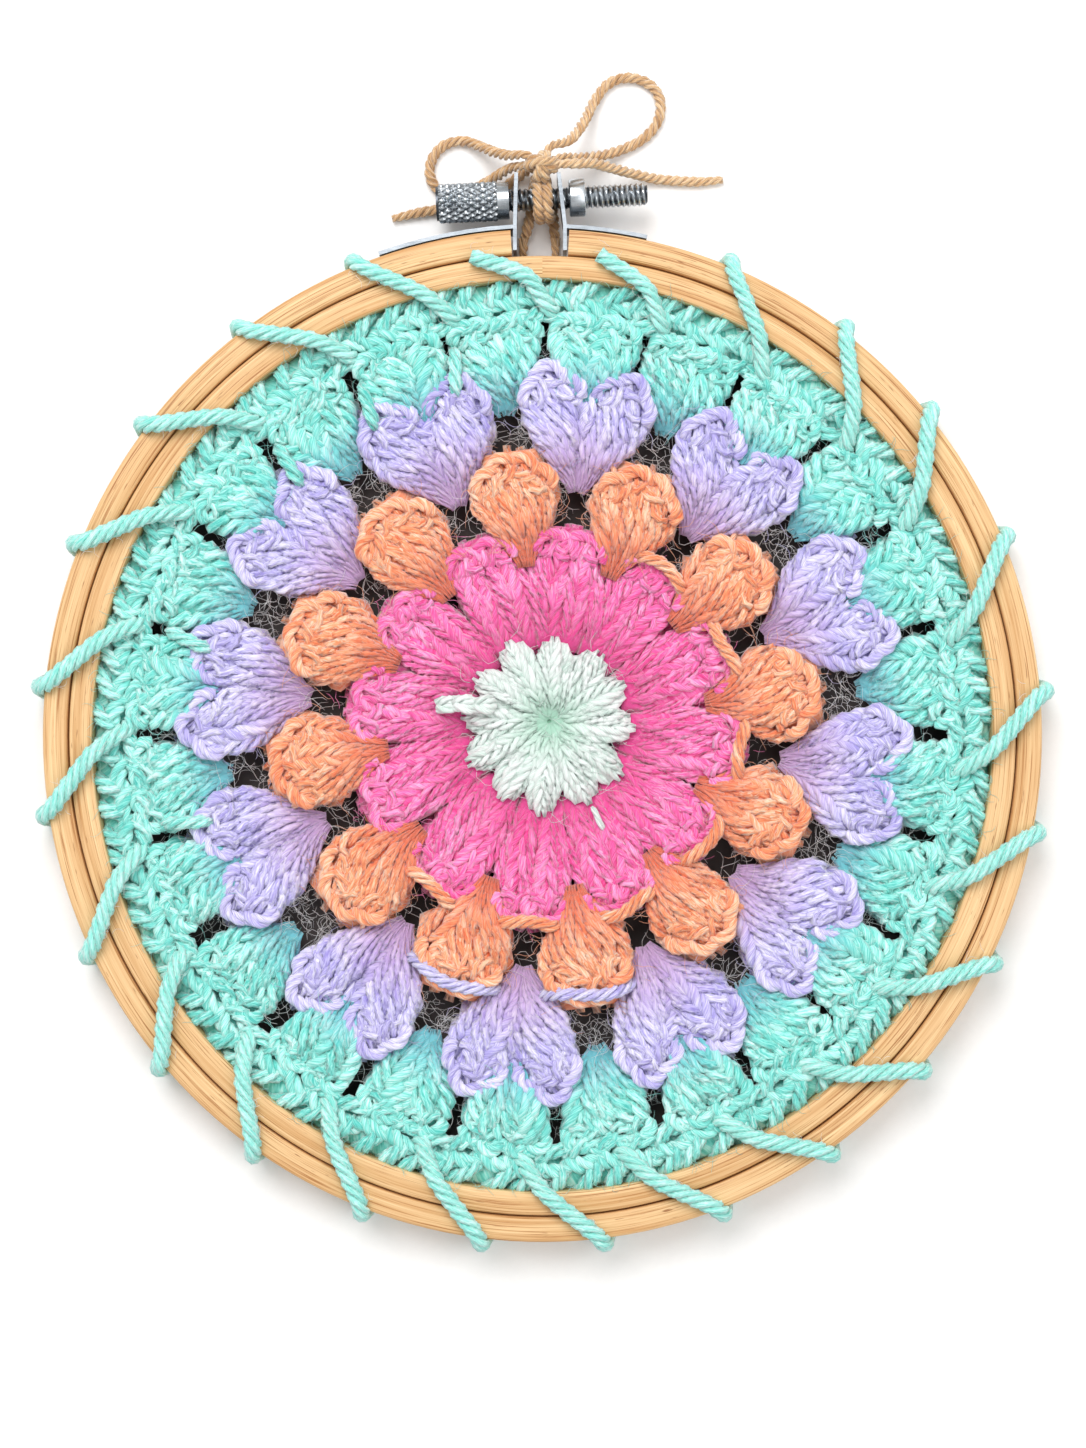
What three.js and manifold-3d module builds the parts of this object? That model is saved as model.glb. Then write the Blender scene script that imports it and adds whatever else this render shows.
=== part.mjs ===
// A crocheted flower mandala lashed into a split wooden embroidery hoop, lying on its back.
// Millimetres. +Z is up from the resting surface and +Y points to the clamp, the top of the hoop
// as it hangs. Places in the hoop are a radius and a clock angle: degrees clockwise from the
// clamp, seen from the front.
import * as THREE from "three";
import { mergeVertices } from "three/addons/utils/BufferGeometryUtils.js";
import Module from "manifold-3d";

const wasm = await Module();
wasm.setup();

// The wooden rings. The hoop is a little taller than it is wide.
const HOOP_WIDTH = 159.6;
const HOOP_HEIGHT = 161.8;
const OUTER_RING_THICK = 3.9;
const INNER_RING_THICK = 3.7;
const RING_SEAM = 0.3;
const RING_DEPTH = 9.5;
const RING_EDGE = 0.4;
const RING_SEGMENTS = 48;
const SPLIT = { left: -5.0, right: 4.2 };

// Yarn, twine and the levels that the layers lie on.
const CLEAR = 0.3;
const YARN = 2.5;
const YARN_SIDES = 5;
const TWINE = 1.8;
const RING_BACK = 2.0;
const SQUASHED = RING_BACK - CLEAR;
const FABRIC_MIDDLE = 7.2;

// Worked out from the sizes above.
const RING_FRONT = RING_BACK + RING_DEPTH;
const RING_MIDDLE = (RING_BACK + RING_FRONT) / 2;
const OVAL = (HOOP_HEIGHT - HOOP_WIDTH) / 2;
const OUTSIDE = HOOP_WIDTH / 2;
const SEAM = OUTSIDE - OUTER_RING_THICK - RING_SEAM;
const INSIDE = SEAM - INNER_RING_THICK;
const EDGE = INSIDE - CLEAR;

// The crochet: where each round starts and ends, as radii from the middle of the flower, and
// half its thickness. The middle of the flower lies off the middle of the hoop.
const DRIFT = { x: 1.1, y: 2.3 };
const CENTRE = { radius: 13.4, scallop: 0.055, high: 2.2, tips: 12 };
const PETALS = { from: 13.7, notch: 27.0, to: 34.2, high: 2.3, ribs: 24, rib: 0.35, span: 15 };
const PUFF = { from: 25.8, to: 46.6, width: 13.6, high: 3.4, fan: 0.22 };
const HEART = { from: 38.8, to: 59.4, width: 10.6, high: 2.7, fan: 0.18, root: 0.8, spread: 7.0 };
const SHELL = { fromBetween: 50.8, fromNotch: 53.6, to: 70.0, width: 13.2, high: 2.5, fan: 0.3 };
const EDGING = { from: 66.2, high: 2.1, scallops: 24, scallop: 0.9 };
const PUFF_CHAIN = { radius: 31.4, front: 11.1, back: 3.9 };
const HEART_CHAIN = { radius: 42.4, front: 11.7, back: 3.9 };
const CHAIN_THICK = 1.7;
const RIB = 0.12;
const POSTS = 3;

// A cluster grown all over, to cut room for it in another round. It has fewer faces than the
// cluster, so it is grown enough to hold it and the gap.
const ROOM = { spare: 0.7, ribs: 2 };

// One row for each twelfth of the flower, clockwise. heart and puff are clock angles, and the
// last two columns say whether the chain that follows the puff or the heart shows in front.
const SECTORS = [
  { heart: 7.5, puff: 22.5, puffChain: "front", heartChain: "back" },
  { heart: 36.5, puff: 51.5, puffChain: "front", heartChain: "back" },
  { heart: 67.0, puff: 81.5, puffChain: "front", heartChain: "back" },
  { heart: 97.5, puff: 111.0, puffChain: "front", heartChain: "back" },
  { heart: 127.0, puff: 140.5, puffChain: "front", heartChain: "back" },
  { heart: 155.5, puff: 170.0, puffChain: "front", heartChain: "front" },
  { heart: 185.5, puff: 200.5, puffChain: "front", heartChain: "front" },
  { heart: 216.0, puff: 231.0, puffChain: "back", heartChain: "back" },
  { heart: 247.5, puff: 262.0, puffChain: "back", heartChain: "back" },
  { heart: 277.5, puff: 292.5, puffChain: "back", heartChain: "back" },
  { heart: 308.0, puff: 322.5, puffChain: "back", heartChain: "back" },
  { heart: 338.5, puff: 352.5, puffChain: "back", heartChain: "back" },
];

// The lashing: the clock angle at which each wrap crosses the outside of the hoop. The wraps at
// each side of the clamp drop into the seam between the rings instead.
const LASH = {
  first: 6.8,
  wraps: [
    22, 37, 50.5, 67, 85, 101, 116.5, 131, 145, 159, 173, 187, 201, 215, 229.5, 244.5, 261, 275.5,
    292, 307.5, 323, 338,
  ],
  last: 351.4,
  lean: 9.0,
  hole: 69.2,
};

// The clamp and its screw, which tilts a little. Lengths along the screw are x in the hoop.
const BRACKET = { sheet: 0.6, wide: 8.0, top: 90.0, tab: 77.6, strapLeft: 19, strapRight: 12 };
const EAR_LEAN = { left: 0.2, right: 1.0 };
const SCREW = { radius: 1.9, y: 86.4, tilt: 2.6, left: -13.5, right: 16.9 };
const NUT = { radius: 3.1, left: -17.1, right: -5.4, smooth: 2.0, cap: 1.6, knurl: 0.16, rows: 7 };
const COLLAR = { radius: 3.05, left: 4.3, right: 6.9 };

// The twine: its turns round the screw, its two legs behind the inner ring, and its knot.
const WRAP = { left: -2.3, right: 1.5, turns: 1.75, steps: 18, bight: 75.4, ends: -0.4 };
const KNOT = { x: 0, y: 91.0, z: 10.2, wide: 2.2, tall: 2.5, deep: 2.1 };

// Routes of the loops and free ends, from the knot. They hang down to the surface and lie on it.
const LOOP_LEFT = [
  { x: -2.8, y: 92.9, z: 10.5 },
  { x: -5.4, y: 93.2, z: 8.2 },
  { x: -7.9, y: 94.3, z: 5.4 },
  { x: -10.4, y: 95.8, z: 2.6 },
  { x: -13.0, y: 96.9, z: 0.9 },
  { x: -15.9, y: 96.3, z: 0.9 },
  { x: -17.9, y: 94.2, z: 0.9 },
  { x: -18.4, y: 91.5, z: 0.9 },
  { x: -17.2, y: 89.2, z: 0.9 },
  { x: -14.6, y: 88.5, z: 0.9 },
  { x: -11.4, y: 89.0, z: 1.1 },
  { x: -8.2, y: 90.3, z: 3.0 },
  { x: -5.4, y: 91.4, z: 6.0 },
  { x: -3.0, y: 91.4, z: 8.8 },
];
const LOOP_RIGHT = [
  { x: 1.5, y: 94.4, z: 10.2 },
  { x: 4.4, y: 95.8, z: 7.4 },
  { x: 6.7, y: 99.4, z: 4.0 },
  { x: 8.3, y: 103.0, z: 1.7 },
  { x: 10.7, y: 106.2, z: 0.9 },
  { x: 13.8, y: 107.2, z: 0.9 },
  { x: 16.6, y: 106.6, z: 0.9 },
  { x: 18.6, y: 105.0, z: 0.9 },
  { x: 19.3, y: 102.3, z: 0.9 },
  { x: 18.5, y: 99.5, z: 0.9 },
  { x: 16.2, y: 97.1, z: 0.9 },
  { x: 13.0, y: 95.5, z: 1.2 },
  { x: 9.2, y: 94.1, z: 3.0 },
  { x: 5.6, y: 93.2, z: 6.2 },
  { x: 3.1, y: 92.8, z: 9.0 },
];
const TAIL_LEFT = [
  { x: -0.5, y: 92.0, z: 7.4 },
  { x: -1.6, y: 92.2, z: 3.6 },
  { x: -4.0, y: 91.0, z: 1.0 },
  { x: -7.5, y: 88.4, z: 0.9 },
  { x: -11.0, y: 86.6, z: 0.9 },
  { x: -14.5, y: 85.9, z: 0.9 },
  { x: -18.0, y: 85.6, z: 0.9 },
  { x: -21.3, y: 85.0, z: 0.9 },
  { x: -24.5, y: 84.2, z: 0.9 },
];
const TAIL_RIGHT = [
  { x: 3.1, y: 91.3, z: 10.9 },
  { x: 5.4, y: 91.5, z: 10.6 },
  { x: 8.2, y: 91.9, z: 8.6 },
  { x: 11.4, y: 91.6, z: 5.6 },
  { x: 14.8, y: 91.2, z: 2.9 },
  { x: 18.4, y: 90.7, z: 1.2 },
  { x: 22.2, y: 90.4, z: 0.9 },
  { x: 26.0, y: 90.3, z: 0.9 },
  { x: 29.4, y: 90.6, z: 0.9 },
];

const FINISH = {
  wood: { color: 0xe3bd85, roughness: 0.55 },
  steel: { color: 0xb9bdc0, roughness: 0.25, metalness: 1 },
  twine: { color: 0xb98a58, roughness: 0.9 },
  pale: { color: 0xcfe3d8, roughness: 0.95 },
  pink: { color: 0xe8549f, roughness: 0.95 },
  orange: { color: 0xef9463, roughness: 0.95 },
  lilac: { color: 0xb9aee6, roughness: 0.95 },
  mint: { color: 0x7fdcc9, roughness: 0.95 },
};

const { degToRad: radians, radToDeg: degrees, lerp } = THREE.MathUtils;

// A point of the hoop's oval, at a radius along its width and a clock angle.
function hoopSpot(radius, clock, z = 0) {
  const angle = radians(clock);
  return new THREE.Vector3(radius * Math.sin(angle), (radius + OVAL) * Math.cos(angle), z);
}

function discSpot(radius, clock, z) {
  const angle = radians(clock);
  return new THREE.Vector3(radius * Math.sin(angle), radius * Math.cos(angle), z);
}

// The flower is worked on a flat disc. This settles a point of that disc in the hoop: the rim
// follows the oval, and the middle lies off centre.
function settle(point) {
  const reach = Math.min(1, Math.hypot(point.x, point.y) / EDGE);
  const stretch = OVAL * reach * (point.y / EDGE);
  point.x += DRIFT.x * (1 - reach);
  point.y += DRIFT.y * (1 - reach) + stretch;
  return point;
}

// Calls change on every vertex of a geometry.
function reshape(geometry, change) {
  const position = geometry.getAttribute("position");
  const point = new THREE.Vector3();
  for (let i = 0; i < position.count; i += 1) {
    point.fromBufferAttribute(position, i);
    change(point);
    position.setXYZ(i, point.x, point.y, point.z);
  }
  return geometry;
}

// The same surface with positions only, so that shared corners are shared vertices.
function welded(geometry) {
  geometry.deleteAttribute("normal");
  geometry.deleteAttribute("uv");
  return mergeVertices(geometry, 1e-4);
}

function solidOf(geometry) {
  const bare = welded(geometry);
  const vertProperties = new Float32Array(bare.getAttribute("position").array);
  const triVerts = new Uint32Array(bare.index.array);
  return new wasm.Manifold(new wasm.Mesh({ numProp: 3, vertProperties, triVerts }));
}

function surfaceOf(solid) {
  const mesh = solid.getMesh();
  const geometry = new THREE.BufferGeometry();
  geometry.setAttribute("position", new THREE.BufferAttribute(mesh.vertProperties, 3));
  geometry.setIndex(new THREE.BufferAttribute(mesh.triVerts, 1));
  geometry.computeVertexNormals();
  return geometry;
}

function joined(geometries) {
  return geometries.map(solidOf).reduce((whole, piece) => whole.add(piece));
}

// A curve that is sampled at its own points, not at even lengths.
class StationCurve extends THREE.CatmullRomCurve3 {
  getUtoTmapping(share) {
    return share;
  }
}

function strand(points, radius, sides = 6) {
  const section = new THREE.Shape();
  for (let i = 0; i < sides; i += 1) {
    const angle = ((i + 0.5) / sides) * 2 * Math.PI;
    const draw = i ? "lineTo" : "moveTo";
    section[draw](radius * Math.cos(angle), radius * Math.sin(angle));
  }
  const extrudePath = new StationCurve(points, false, "centripetal");
  return new THREE.ExtrudeGeometry(section, { steps: points.length - 1, extrudePath });
}

// Flattens what lies on the surface, and what is pinched between it and the rings.
function pinched(geometry) {
  return reshape(geometry, (point) => {
    const radius = Math.hypot(point.x, point.y - (OVAL * point.y) / OUTSIDE);
    const underRings = radius > EDGE && radius < OUTSIDE + CLEAR && point.z < RING_MIDDLE / 2;
    point.z = Math.max(0, underRings ? Math.min(point.z, SQUASHED) : point.z);
  });
}

// The wooden rings, cut from an oval band.
function band(outer, inner, fromClock, toClock) {
  const outside = [];
  const inside = [];
  for (let i = 0; i <= RING_SEGMENTS; i += 1) {
    const clock = lerp(fromClock, toClock, i / RING_SEGMENTS);
    outside.push(hoopSpot(outer, clock));
    inside.unshift(hoopSpot(inner, clock));
  }
  return { outside, inside };
}

function plank(shape) {
  const plain = {
    depth: RING_DEPTH - 2 * RING_EDGE,
    bevelThickness: RING_EDGE,
    bevelSize: RING_EDGE,
    bevelOffset: -RING_EDGE,
    bevelSegments: 1,
  };
  return new THREE.ExtrudeGeometry(shape, plain).translate(0, 0, RING_BACK + RING_EDGE);
}

function outerRing() {
  const clockOf = (x) => degrees(Math.asin(x / OUTSIDE));
  const { outside, inside } = band(
    OUTSIDE,
    OUTSIDE - OUTER_RING_THICK,
    clockOf(SPLIT.right),
    360 + clockOf(SPLIT.left),
  );
  return plank(new THREE.Shape([...outside, ...inside]));
}

function innerRing() {
  const { outside, inside } = band(SEAM, INSIDE, 0, 360);
  const shape = new THREE.Shape(outside.slice(1));
  shape.holes.push(new THREE.Path(inside.slice(1)));
  return plank(shape);
}

// The screw's line: a piece that is turned about it lies along X and tilts with it.
function onScrew(geometry, middle) {
  const tilt = radians(SCREW.tilt);
  geometry.rotateZ(-Math.PI / 2 + tilt);
  return geometry.translate(middle, SCREW.y + middle * Math.tan(tilt), RING_MIDDLE);
}

function rod(radius, left, right, segments = 18) {
  const length = right - left;
  return onScrew(new THREE.CylinderGeometry(radius, radius, length, segments), (left + right) / 2);
}

function turned(rows, middle, segments = 18) {
  const profile = rows.map((row) => new THREE.Vector2(row.radius, row.x - middle));
  return onScrew(new THREE.LatheGeometry(profile, segments), middle);
}

// The thumb nut, with a bore for the screw and knurling raised as alternate high points.
function nut() {
  const grip = NUT.right - NUT.smooth;
  const bore = SCREW.radius + CLEAR;
  const rows = [
    { radius: 0, x: NUT.left },
    { radius: NUT.radius - 0.3, x: NUT.left },
  ];
  for (let i = 0; i <= NUT.rows; i += 1) {
    const x = lerp(NUT.left + 0.3, grip - 0.3, i / NUT.rows);
    rows.push({ radius: NUT.radius, x });
  }
  rows.push(
    { radius: NUT.radius - 0.3, x: grip },
    { radius: NUT.radius - 0.3, x: NUT.right },
    { radius: bore, x: NUT.right },
    { radius: bore, x: NUT.left + NUT.cap },
    { radius: 0, x: NUT.left + NUT.cap },
  );
  const middle = (NUT.left + NUT.right) / 2;
  const segments = 20;
  const profile = rows.map((row) => new THREE.Vector2(row.radius, row.x - middle));
  const blank = new THREE.LatheGeometry(profile, segments);
  const pitch = (grip - NUT.left - 0.6) / NUT.rows;
  reshape(blank, (point) => {
    const reach = Math.hypot(point.x, point.z);
    if (reach > NUT.radius - 0.1) {
      const turn = Math.round((Math.atan2(point.x, point.z) / (2 * Math.PI)) * segments);
      const row = Math.round((point.y + middle - NUT.left - 0.3) / pitch);
      const scale = 1 + (((turn + row) % 2 ? NUT.knurl : -NUT.knurl) / NUT.radius);
      point.x *= scale;
      point.z *= scale;
    }
  });
  return onScrew(blank, middle);
}

function collar() {
  const bore = SCREW.radius + CLEAR;
  const rows = [
    { radius: bore, x: COLLAR.left },
    { radius: COLLAR.radius - 0.3, x: COLLAR.left },
    { radius: COLLAR.radius, x: COLLAR.left + 0.3 },
    { radius: COLLAR.radius, x: COLLAR.right - 0.3 },
    { radius: COLLAR.radius - 0.3, x: COLLAR.right },
    { radius: bore, x: COLLAR.right },
    { radius: bore, x: COLLAR.left },
  ];
  return turned(rows, (COLLAR.left + COLLAR.right) / 2);
}

// A bent sheet: a strap along the outside of the ring, a tab down the cut end, and an ear.
function bracket(side, split, strap, lean) {
  const inner = OUTSIDE + CLEAR;
  const outer = inner + BRACKET.sheet;
  const face = split - side * CLEAR;
  const back = face - side * BRACKET.sheet;
  const faceClock = Math.abs(degrees(Math.asin(face / inner)));
  const steps = 6;
  const under = [];
  const over = [];
  for (let i = 0; i <= steps; i += 1) {
    const clock = side * lerp(strap, faceClock, i / steps);
    under.push(hoopSpot(inner, clock));
    over.unshift(hoopSpot(outer, clock));
  }
  under[steps].x = face;
  over[0].x = face;
  const outline = [
    ...under,
    { x: face, y: BRACKET.tab },
    { x: back, y: BRACKET.tab },
    { x: back, y: over[0].y },
    { x: back - side * lean, y: BRACKET.top },
    { x: face - side * lean, y: BRACKET.top },
    ...over,
  ];
  const shape = new THREE.Shape(outline.map((spot) => new THREE.Vector2(spot.x, spot.y)));
  const sheet = new THREE.ExtrudeGeometry(shape, { depth: BRACKET.wide, bevelEnabled: false });
  sheet.translate(0, 0, RING_MIDDLE - BRACKET.wide / 2);
  const hole = rod(SCREW.radius + CLEAR, SCREW.left, SCREW.right);
  return surfaceOf(solidOf(sheet).subtract(solidOf(hole)));
}

// One cluster of posts, drawn together at its base and round at its tip, with its posts as ribs.
function cluster(base, tip, width, high, fan, ribs, rows = 4) {
  const along = tip.clone().sub(base);
  const across = new THREE.Vector3(along.y, -along.x, 0).normalize();
  return reshape(new THREE.SphereGeometry(1, 4 * ribs, rows), (point) => {
    const share = (point.y + 1) / 2;
    const turn = Math.atan2(point.z, point.x);
    const rib = point.z > 0 ? -RIB * Math.cos(2 * ribs * turn) : -RIB;
    const side = point.x * (width / 2) * lerp(1 - fan, 1 + fan, share);
    const lift = point.z * high * (1 + rib) * lerp(0.75, 1.05, share);
    point.copy(base).addScaledVector(along, share).addScaledVector(across, side);
    point.z += lift;
    settle(point);
  });
}

function paleCentre() {
  const dome = new THREE.SphereGeometry(1, 2 * CENTRE.tips, 6).rotateX(Math.PI / 2);
  return reshape(dome, (point) => {
    const ridge = Math.cos(CENTRE.tips * Math.atan2(point.y, point.x));
    const reach = Math.hypot(point.x, point.y);
    const radius = CENTRE.radius * (1 + CENTRE.scallop * ridge);
    point.x *= radius;
    point.y *= radius;
    point.z = FABRIC_MIDDLE + point.z * CENTRE.high * (1 + RIB * ridge * reach);
    settle(point);
  });
}

// A flat ring of crochet with ribs on top. rimOf gives its outer radius at a clock angle.
function ribbedRing(from, rimOf, high, ribs, rib) {
  const rows = [
    { share: 0, z: -0.6 },
    { share: 0.85, z: -0.9 },
    { share: 1, z: 0 },
    { share: 0.8, z: 1 },
    { share: 0.15, z: 0.85 },
  ];
  const profile = [...rows, rows[0]].map((row) => new THREE.Vector2(1 + row.share, row.z));
  const ring = new THREE.LatheGeometry(profile, 2 * ribs).rotateX(Math.PI / 2);
  return reshape(ring, (point) => {
    const clock = degrees(Math.atan2(point.x, point.y));
    const share = Math.hypot(point.x, point.y) - 1;
    const lift = point.z > 0.1 ? rib * Math.cos(radians(clock * ribs)) : 0;
    const z = FABRIC_MIDDLE + point.z * high + lift;
    point.copy(settle(discSpot(lerp(from, rimOf(clock), share), clock, z)));
  });
}

// The pink round: its points lie under the hearts and its notches under the puffs.
function pinkRound() {
  const rim = (clock) => {
    const gaps = SECTORS.map((row) => Math.abs(((clock - row.heart + 540) % 360) - 180));
    const bump = Math.cos((Math.min(1, Math.min(...gaps) / PETALS.span) * Math.PI) / 2) ** 2;
    return lerp(PETALS.notch, PETALS.to, bump);
  };
  return ribbedRing(PETALS.from, rim, PETALS.high, PETALS.ribs, PETALS.rib);
}

// A chain of one round between two of its clusters, at a level in front of or behind the round
// inside it.
function chain(radius, fromClock, toClock, level) {
  const stations = [
    { share: 0, z: FABRIC_MIDDLE },
    { share: 0.2, z: level },
    { share: 0.8, z: level },
    { share: 1, z: FABRIC_MIDDLE },
  ];
  const turn = (toClock - fromClock + 360) % 360;
  const spots = stations.map(({ share, z }) => discSpot(radius, fromClock + turn * share, z));
  return strand(spots.map(settle), CHAIN_THICK / 2, YARN_SIDES);
}

function puffChains() {
  return SECTORS.map((row, i) => {
    const next = SECTORS[(i + 1) % SECTORS.length];
    return chain(PUFF_CHAIN.radius, row.puff, next.puff, PUFF_CHAIN[row.puffChain]);
  });
}

function heartChains() {
  return SECTORS.map((row, i) => {
    const next = SECTORS[(i + 1) % SECTORS.length];
    return chain(HEART_CHAIN.radius, row.heart, next.heart, HEART_CHAIN[row.heartChain]);
  });
}

function puffs(spare = 0, ribs = POSTS) {
  return SECTORS.map((row) =>
    cluster(
      discSpot(PUFF.from - spare, row.puff, FABRIC_MIDDLE),
      discSpot(PUFF.to + spare, row.puff, FABRIC_MIDDLE + CLEAR),
      PUFF.width + 2 * spare,
      PUFF.high + spare,
      PUFF.fan,
      ribs,
    ),
  );
}

function hearts(spare = 0, ribs = POSTS) {
  const lobe = (row, side) =>
    cluster(
      discSpot(HEART.from - spare, row.heart + side * HEART.root, FABRIC_MIDDLE),
      discSpot(HEART.to + spare, row.heart + side * HEART.spread, FABRIC_MIDDLE),
      HEART.width + 2 * spare,
      HEART.high + spare,
      HEART.fan,
      ribs,
    );
  return SECTORS.flatMap((row) => [lobe(row, -1), lobe(row, 1)]);
}

function shells() {
  const shell = (clock, from) =>
    cluster(
      discSpot(from, clock, FABRIC_MIDDLE - CLEAR),
      discSpot(SHELL.to, clock, FABRIC_MIDDLE),
      SHELL.width,
      SHELL.high,
      SHELL.fan,
      2,
      3,
    );
  return SECTORS.flatMap((row, i) => {
    const next = SECTORS[(i + 1) % SECTORS.length].heart;
    const between = row.heart + ((next - row.heart + 360) % 360) / 2;
    return [shell(row.heart, SHELL.fromNotch), shell(between, SHELL.fromBetween)];
  });
}

function edgeRing() {
  const dip = (clock) => EDGING.scallop * (0.5 - 0.5 * Math.cos(radians(clock * EDGING.scallops)));
  return ribbedRing(EDGING.from, (clock) => EDGE - dip(clock), EDGING.high, EDGING.scallops, 0);
}

// Where the lashing comes through the edge and lies on the front, from outside to inside.
function frontStretch(clock) {
  const lying = RING_FRONT + CLEAR + YARN / 2;
  const lean = LASH.lean;
  return [
    hoopSpot(OUTSIDE - 2.2, clock + 0.15 * lean, lying),
    hoopSpot(INSIDE - 0.3, clock + 0.8 * lean, lying),
    hoopSpot(LASH.hole, clock + lean, FABRIC_MIDDLE + 2.2),
    hoopSpot(LASH.hole, clock + lean, FABRIC_MIDDLE - 3.2),
    hoopSpot(INSIDE - 1.9, clock + lean + 0.5, SQUASHED / 2),
  ];
}

function backStretch(fromClock, toClock, toRadius) {
  return [
    hoopSpot(INSIDE + 1.4, lerp(fromClock, toClock, 0.25), SQUASHED / 2),
    hoopSpot(toRadius, lerp(fromClock, toClock, 0.85), SQUASHED / 2),
  ];
}

function roundOutside(clock) {
  const away = OUTSIDE + CLEAR + YARN / 2;
  return [
    hoopSpot(away, clock - 0.5, RING_BACK / 2),
    hoopSpot(away, clock + 0.4, RING_FRONT + 1.2),
  ];
}

// The long lashing starts in the seam at one side of the clamp and ends in it at the other.
function lashingRoute() {
  const seamStart = hoopSpot(SEAM + 0.4, LASH.first, RING_FRONT + CLEAR + YARN / 2);
  const points = [seamStart, ...frontStretch(LASH.first).slice(1)];
  let from = LASH.first + LASH.lean;
  for (const clock of LASH.wraps) {
    points.push(...backStretch(from, clock, OUTSIDE - 1.4));
    points.push(...roundOutside(clock), ...frontStretch(clock));
    from = clock + LASH.lean;
  }
  points.push(...backStretch(from, LASH.last, SEAM - 1.6));
  points.push(hoopSpot(SEAM + 0.2, LASH.last, SQUASHED / 2));
  return points;
}

function lashingStartRoute() {
  const seamStart = hoopSpot(SEAM + 0.4, LASH.last, RING_FRONT + CLEAR + YARN / 2);
  const back = backStretch(LASH.last + LASH.lean, 360 + LASH.first, SEAM - 1.6);
  const seamEnd = hoopSpot(SEAM + 0.2, LASH.first, SQUASHED / 2);
  return [seamStart, ...frontStretch(LASH.last).slice(1), ...back, seamEnd];
}

// The twine goes round the screw between the ears, and its legs meet behind the inner ring.
function wrapRoute() {
  const away = SCREW.radius + CLEAR + TWINE / 2;
  const leg = (x, inward) => [
    { x: WRAP.ends + 0.2 * inward, y: WRAP.bight, z: SQUASHED / 2 },
    { x: x - 0.5 * inward, y: WRAP.bight + 0.5, z: SQUASHED / 2 },
    { x, y: WRAP.bight + 2.4, z: SQUASHED / 2 },
    { x, y: WRAP.bight + 4.6, z: RING_BACK - CLEAR },
  ];
  const turns = [];
  for (let i = 0; i <= WRAP.steps; i += 1) {
    const share = i / WRAP.steps;
    const turn = (share * WRAP.turns - 0.25) * 2 * Math.PI;
    const x = lerp(WRAP.left, WRAP.right, share);
    const y = SCREW.y + x * Math.tan(radians(SCREW.tilt)) + away * Math.sin(turn);
    turns.push({ x, y, z: RING_MIDDLE + away * Math.cos(turn) });
  }
  return [...leg(WRAP.left, -1), ...turns, ...leg(WRAP.right, 1).reverse()];
}

function route(rows) {
  return rows.map((row) => new THREE.Vector3(row.x, row.y, row.z));
}

// The knot is a lump with a strand over it, seated on the turns round the screw.
function knot() {
  const lump = new THREE.SphereGeometry(1, 12, 8).scale(KNOT.wide, KNOT.tall, KNOT.deep);
  lump.translate(KNOT.x, KNOT.y, KNOT.z);
  const over = [];
  for (let i = 0; i <= 6; i += 1) {
    const turn = radians(-60 + 40 * i);
    const y = KNOT.y + (KNOT.tall - 0.3) * Math.sin(turn);
    over.push({ x: KNOT.x + 0.25 * (i - 3), y, z: KNOT.z + (KNOT.deep - 0.3) * Math.cos(turn) });
  }
  const wraps = solidOf(strand(route(wrapRoute()), TWINE / 2 + CLEAR));
  return joined([lump, strand(route(over), TWINE / 2)]).subtract(wraps);
}

const hoop = new THREE.Group();
const cords = new THREE.Group();

function add(name, finish, geometry, group = hoop) {
  const surface = geometry.isBufferGeometry ? welded(geometry) : surfaceOf(geometry);
  const mesh = new THREE.Mesh(surface, new THREE.MeshStandardMaterial(FINISH[finish]));
  mesh.name = name;
  group.add(mesh);
}

function addHoop() {
  add("hoop_outer_ring", "wood", outerRing());
  add("hoop_inner_ring", "wood", innerRing());
  add("clamp_bracket_left", "steel", bracket(-1, SPLIT.left, BRACKET.strapLeft, EAR_LEAN.left));
  add("clamp_bracket_right", "steel", bracket(1, SPLIT.right, BRACKET.strapRight, EAR_LEAN.right));
  add("clamp_screw", "steel", rod(SCREW.radius, SCREW.left, SCREW.right));
  add("knurled_nut", "steel", nut());
  add("clamp_collar", "steel", collar());
}

// The pink and mint rounds make room for the clusters that lie on them, and so do the puffs.
function addCrochet(lashing) {
  const puffRoom = joined(puffs(ROOM.spare, ROOM.ribs));
  const heartRoom = joined(hearts(ROOM.spare, ROOM.ribs));
  add("crochet_centre", "pale", paleCentre());
  add("crochet_petals", "pink", solidOf(pinkRound()).subtract(puffRoom));
  add("crochet_puffs", "orange", joined([...puffs(), ...puffChains()]).subtract(heartRoom));
  add("crochet_hearts", "lilac", joined([...hearts(), ...heartChains()]));
  const edging = joined([...shells(), edgeRing()]);
  add("crochet_edging", "mint", edging.subtract(heartRoom).subtract(lashing));
}

function addYarnAndTwine() {
  add("lashing_yarn", "mint", pinched(strand(lashingRoute(), YARN / 2, YARN_SIDES)));
  add("lashing_start", "mint", pinched(strand(lashingStartRoute(), YARN / 2, YARN_SIDES)));
  add("twine_wrap", "twine", pinched(strand(route(wrapRoute()), TWINE / 2)));
  add("twine_knot", "twine", knot());
  const lengths = { loop_left: LOOP_LEFT, loop_right: LOOP_RIGHT, tail_left: TAIL_LEFT };
  for (const [name, rows] of Object.entries({ ...lengths, tail_right: TAIL_RIGHT })) {
    add(`twine_${name}`, "twine", pinched(strand(route(rows), TWINE / 2, 8)), cords);
  }
}

const lashingRoom = [lashingRoute(), lashingStartRoute()].map((points) =>
  solidOf(strand(points, YARN / 2 + CLEAR, YARN_SIDES)),
);
addHoop();
addCrochet(lashingRoom[0].add(lashingRoom[1]));
addYarnAndTwine();

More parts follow.
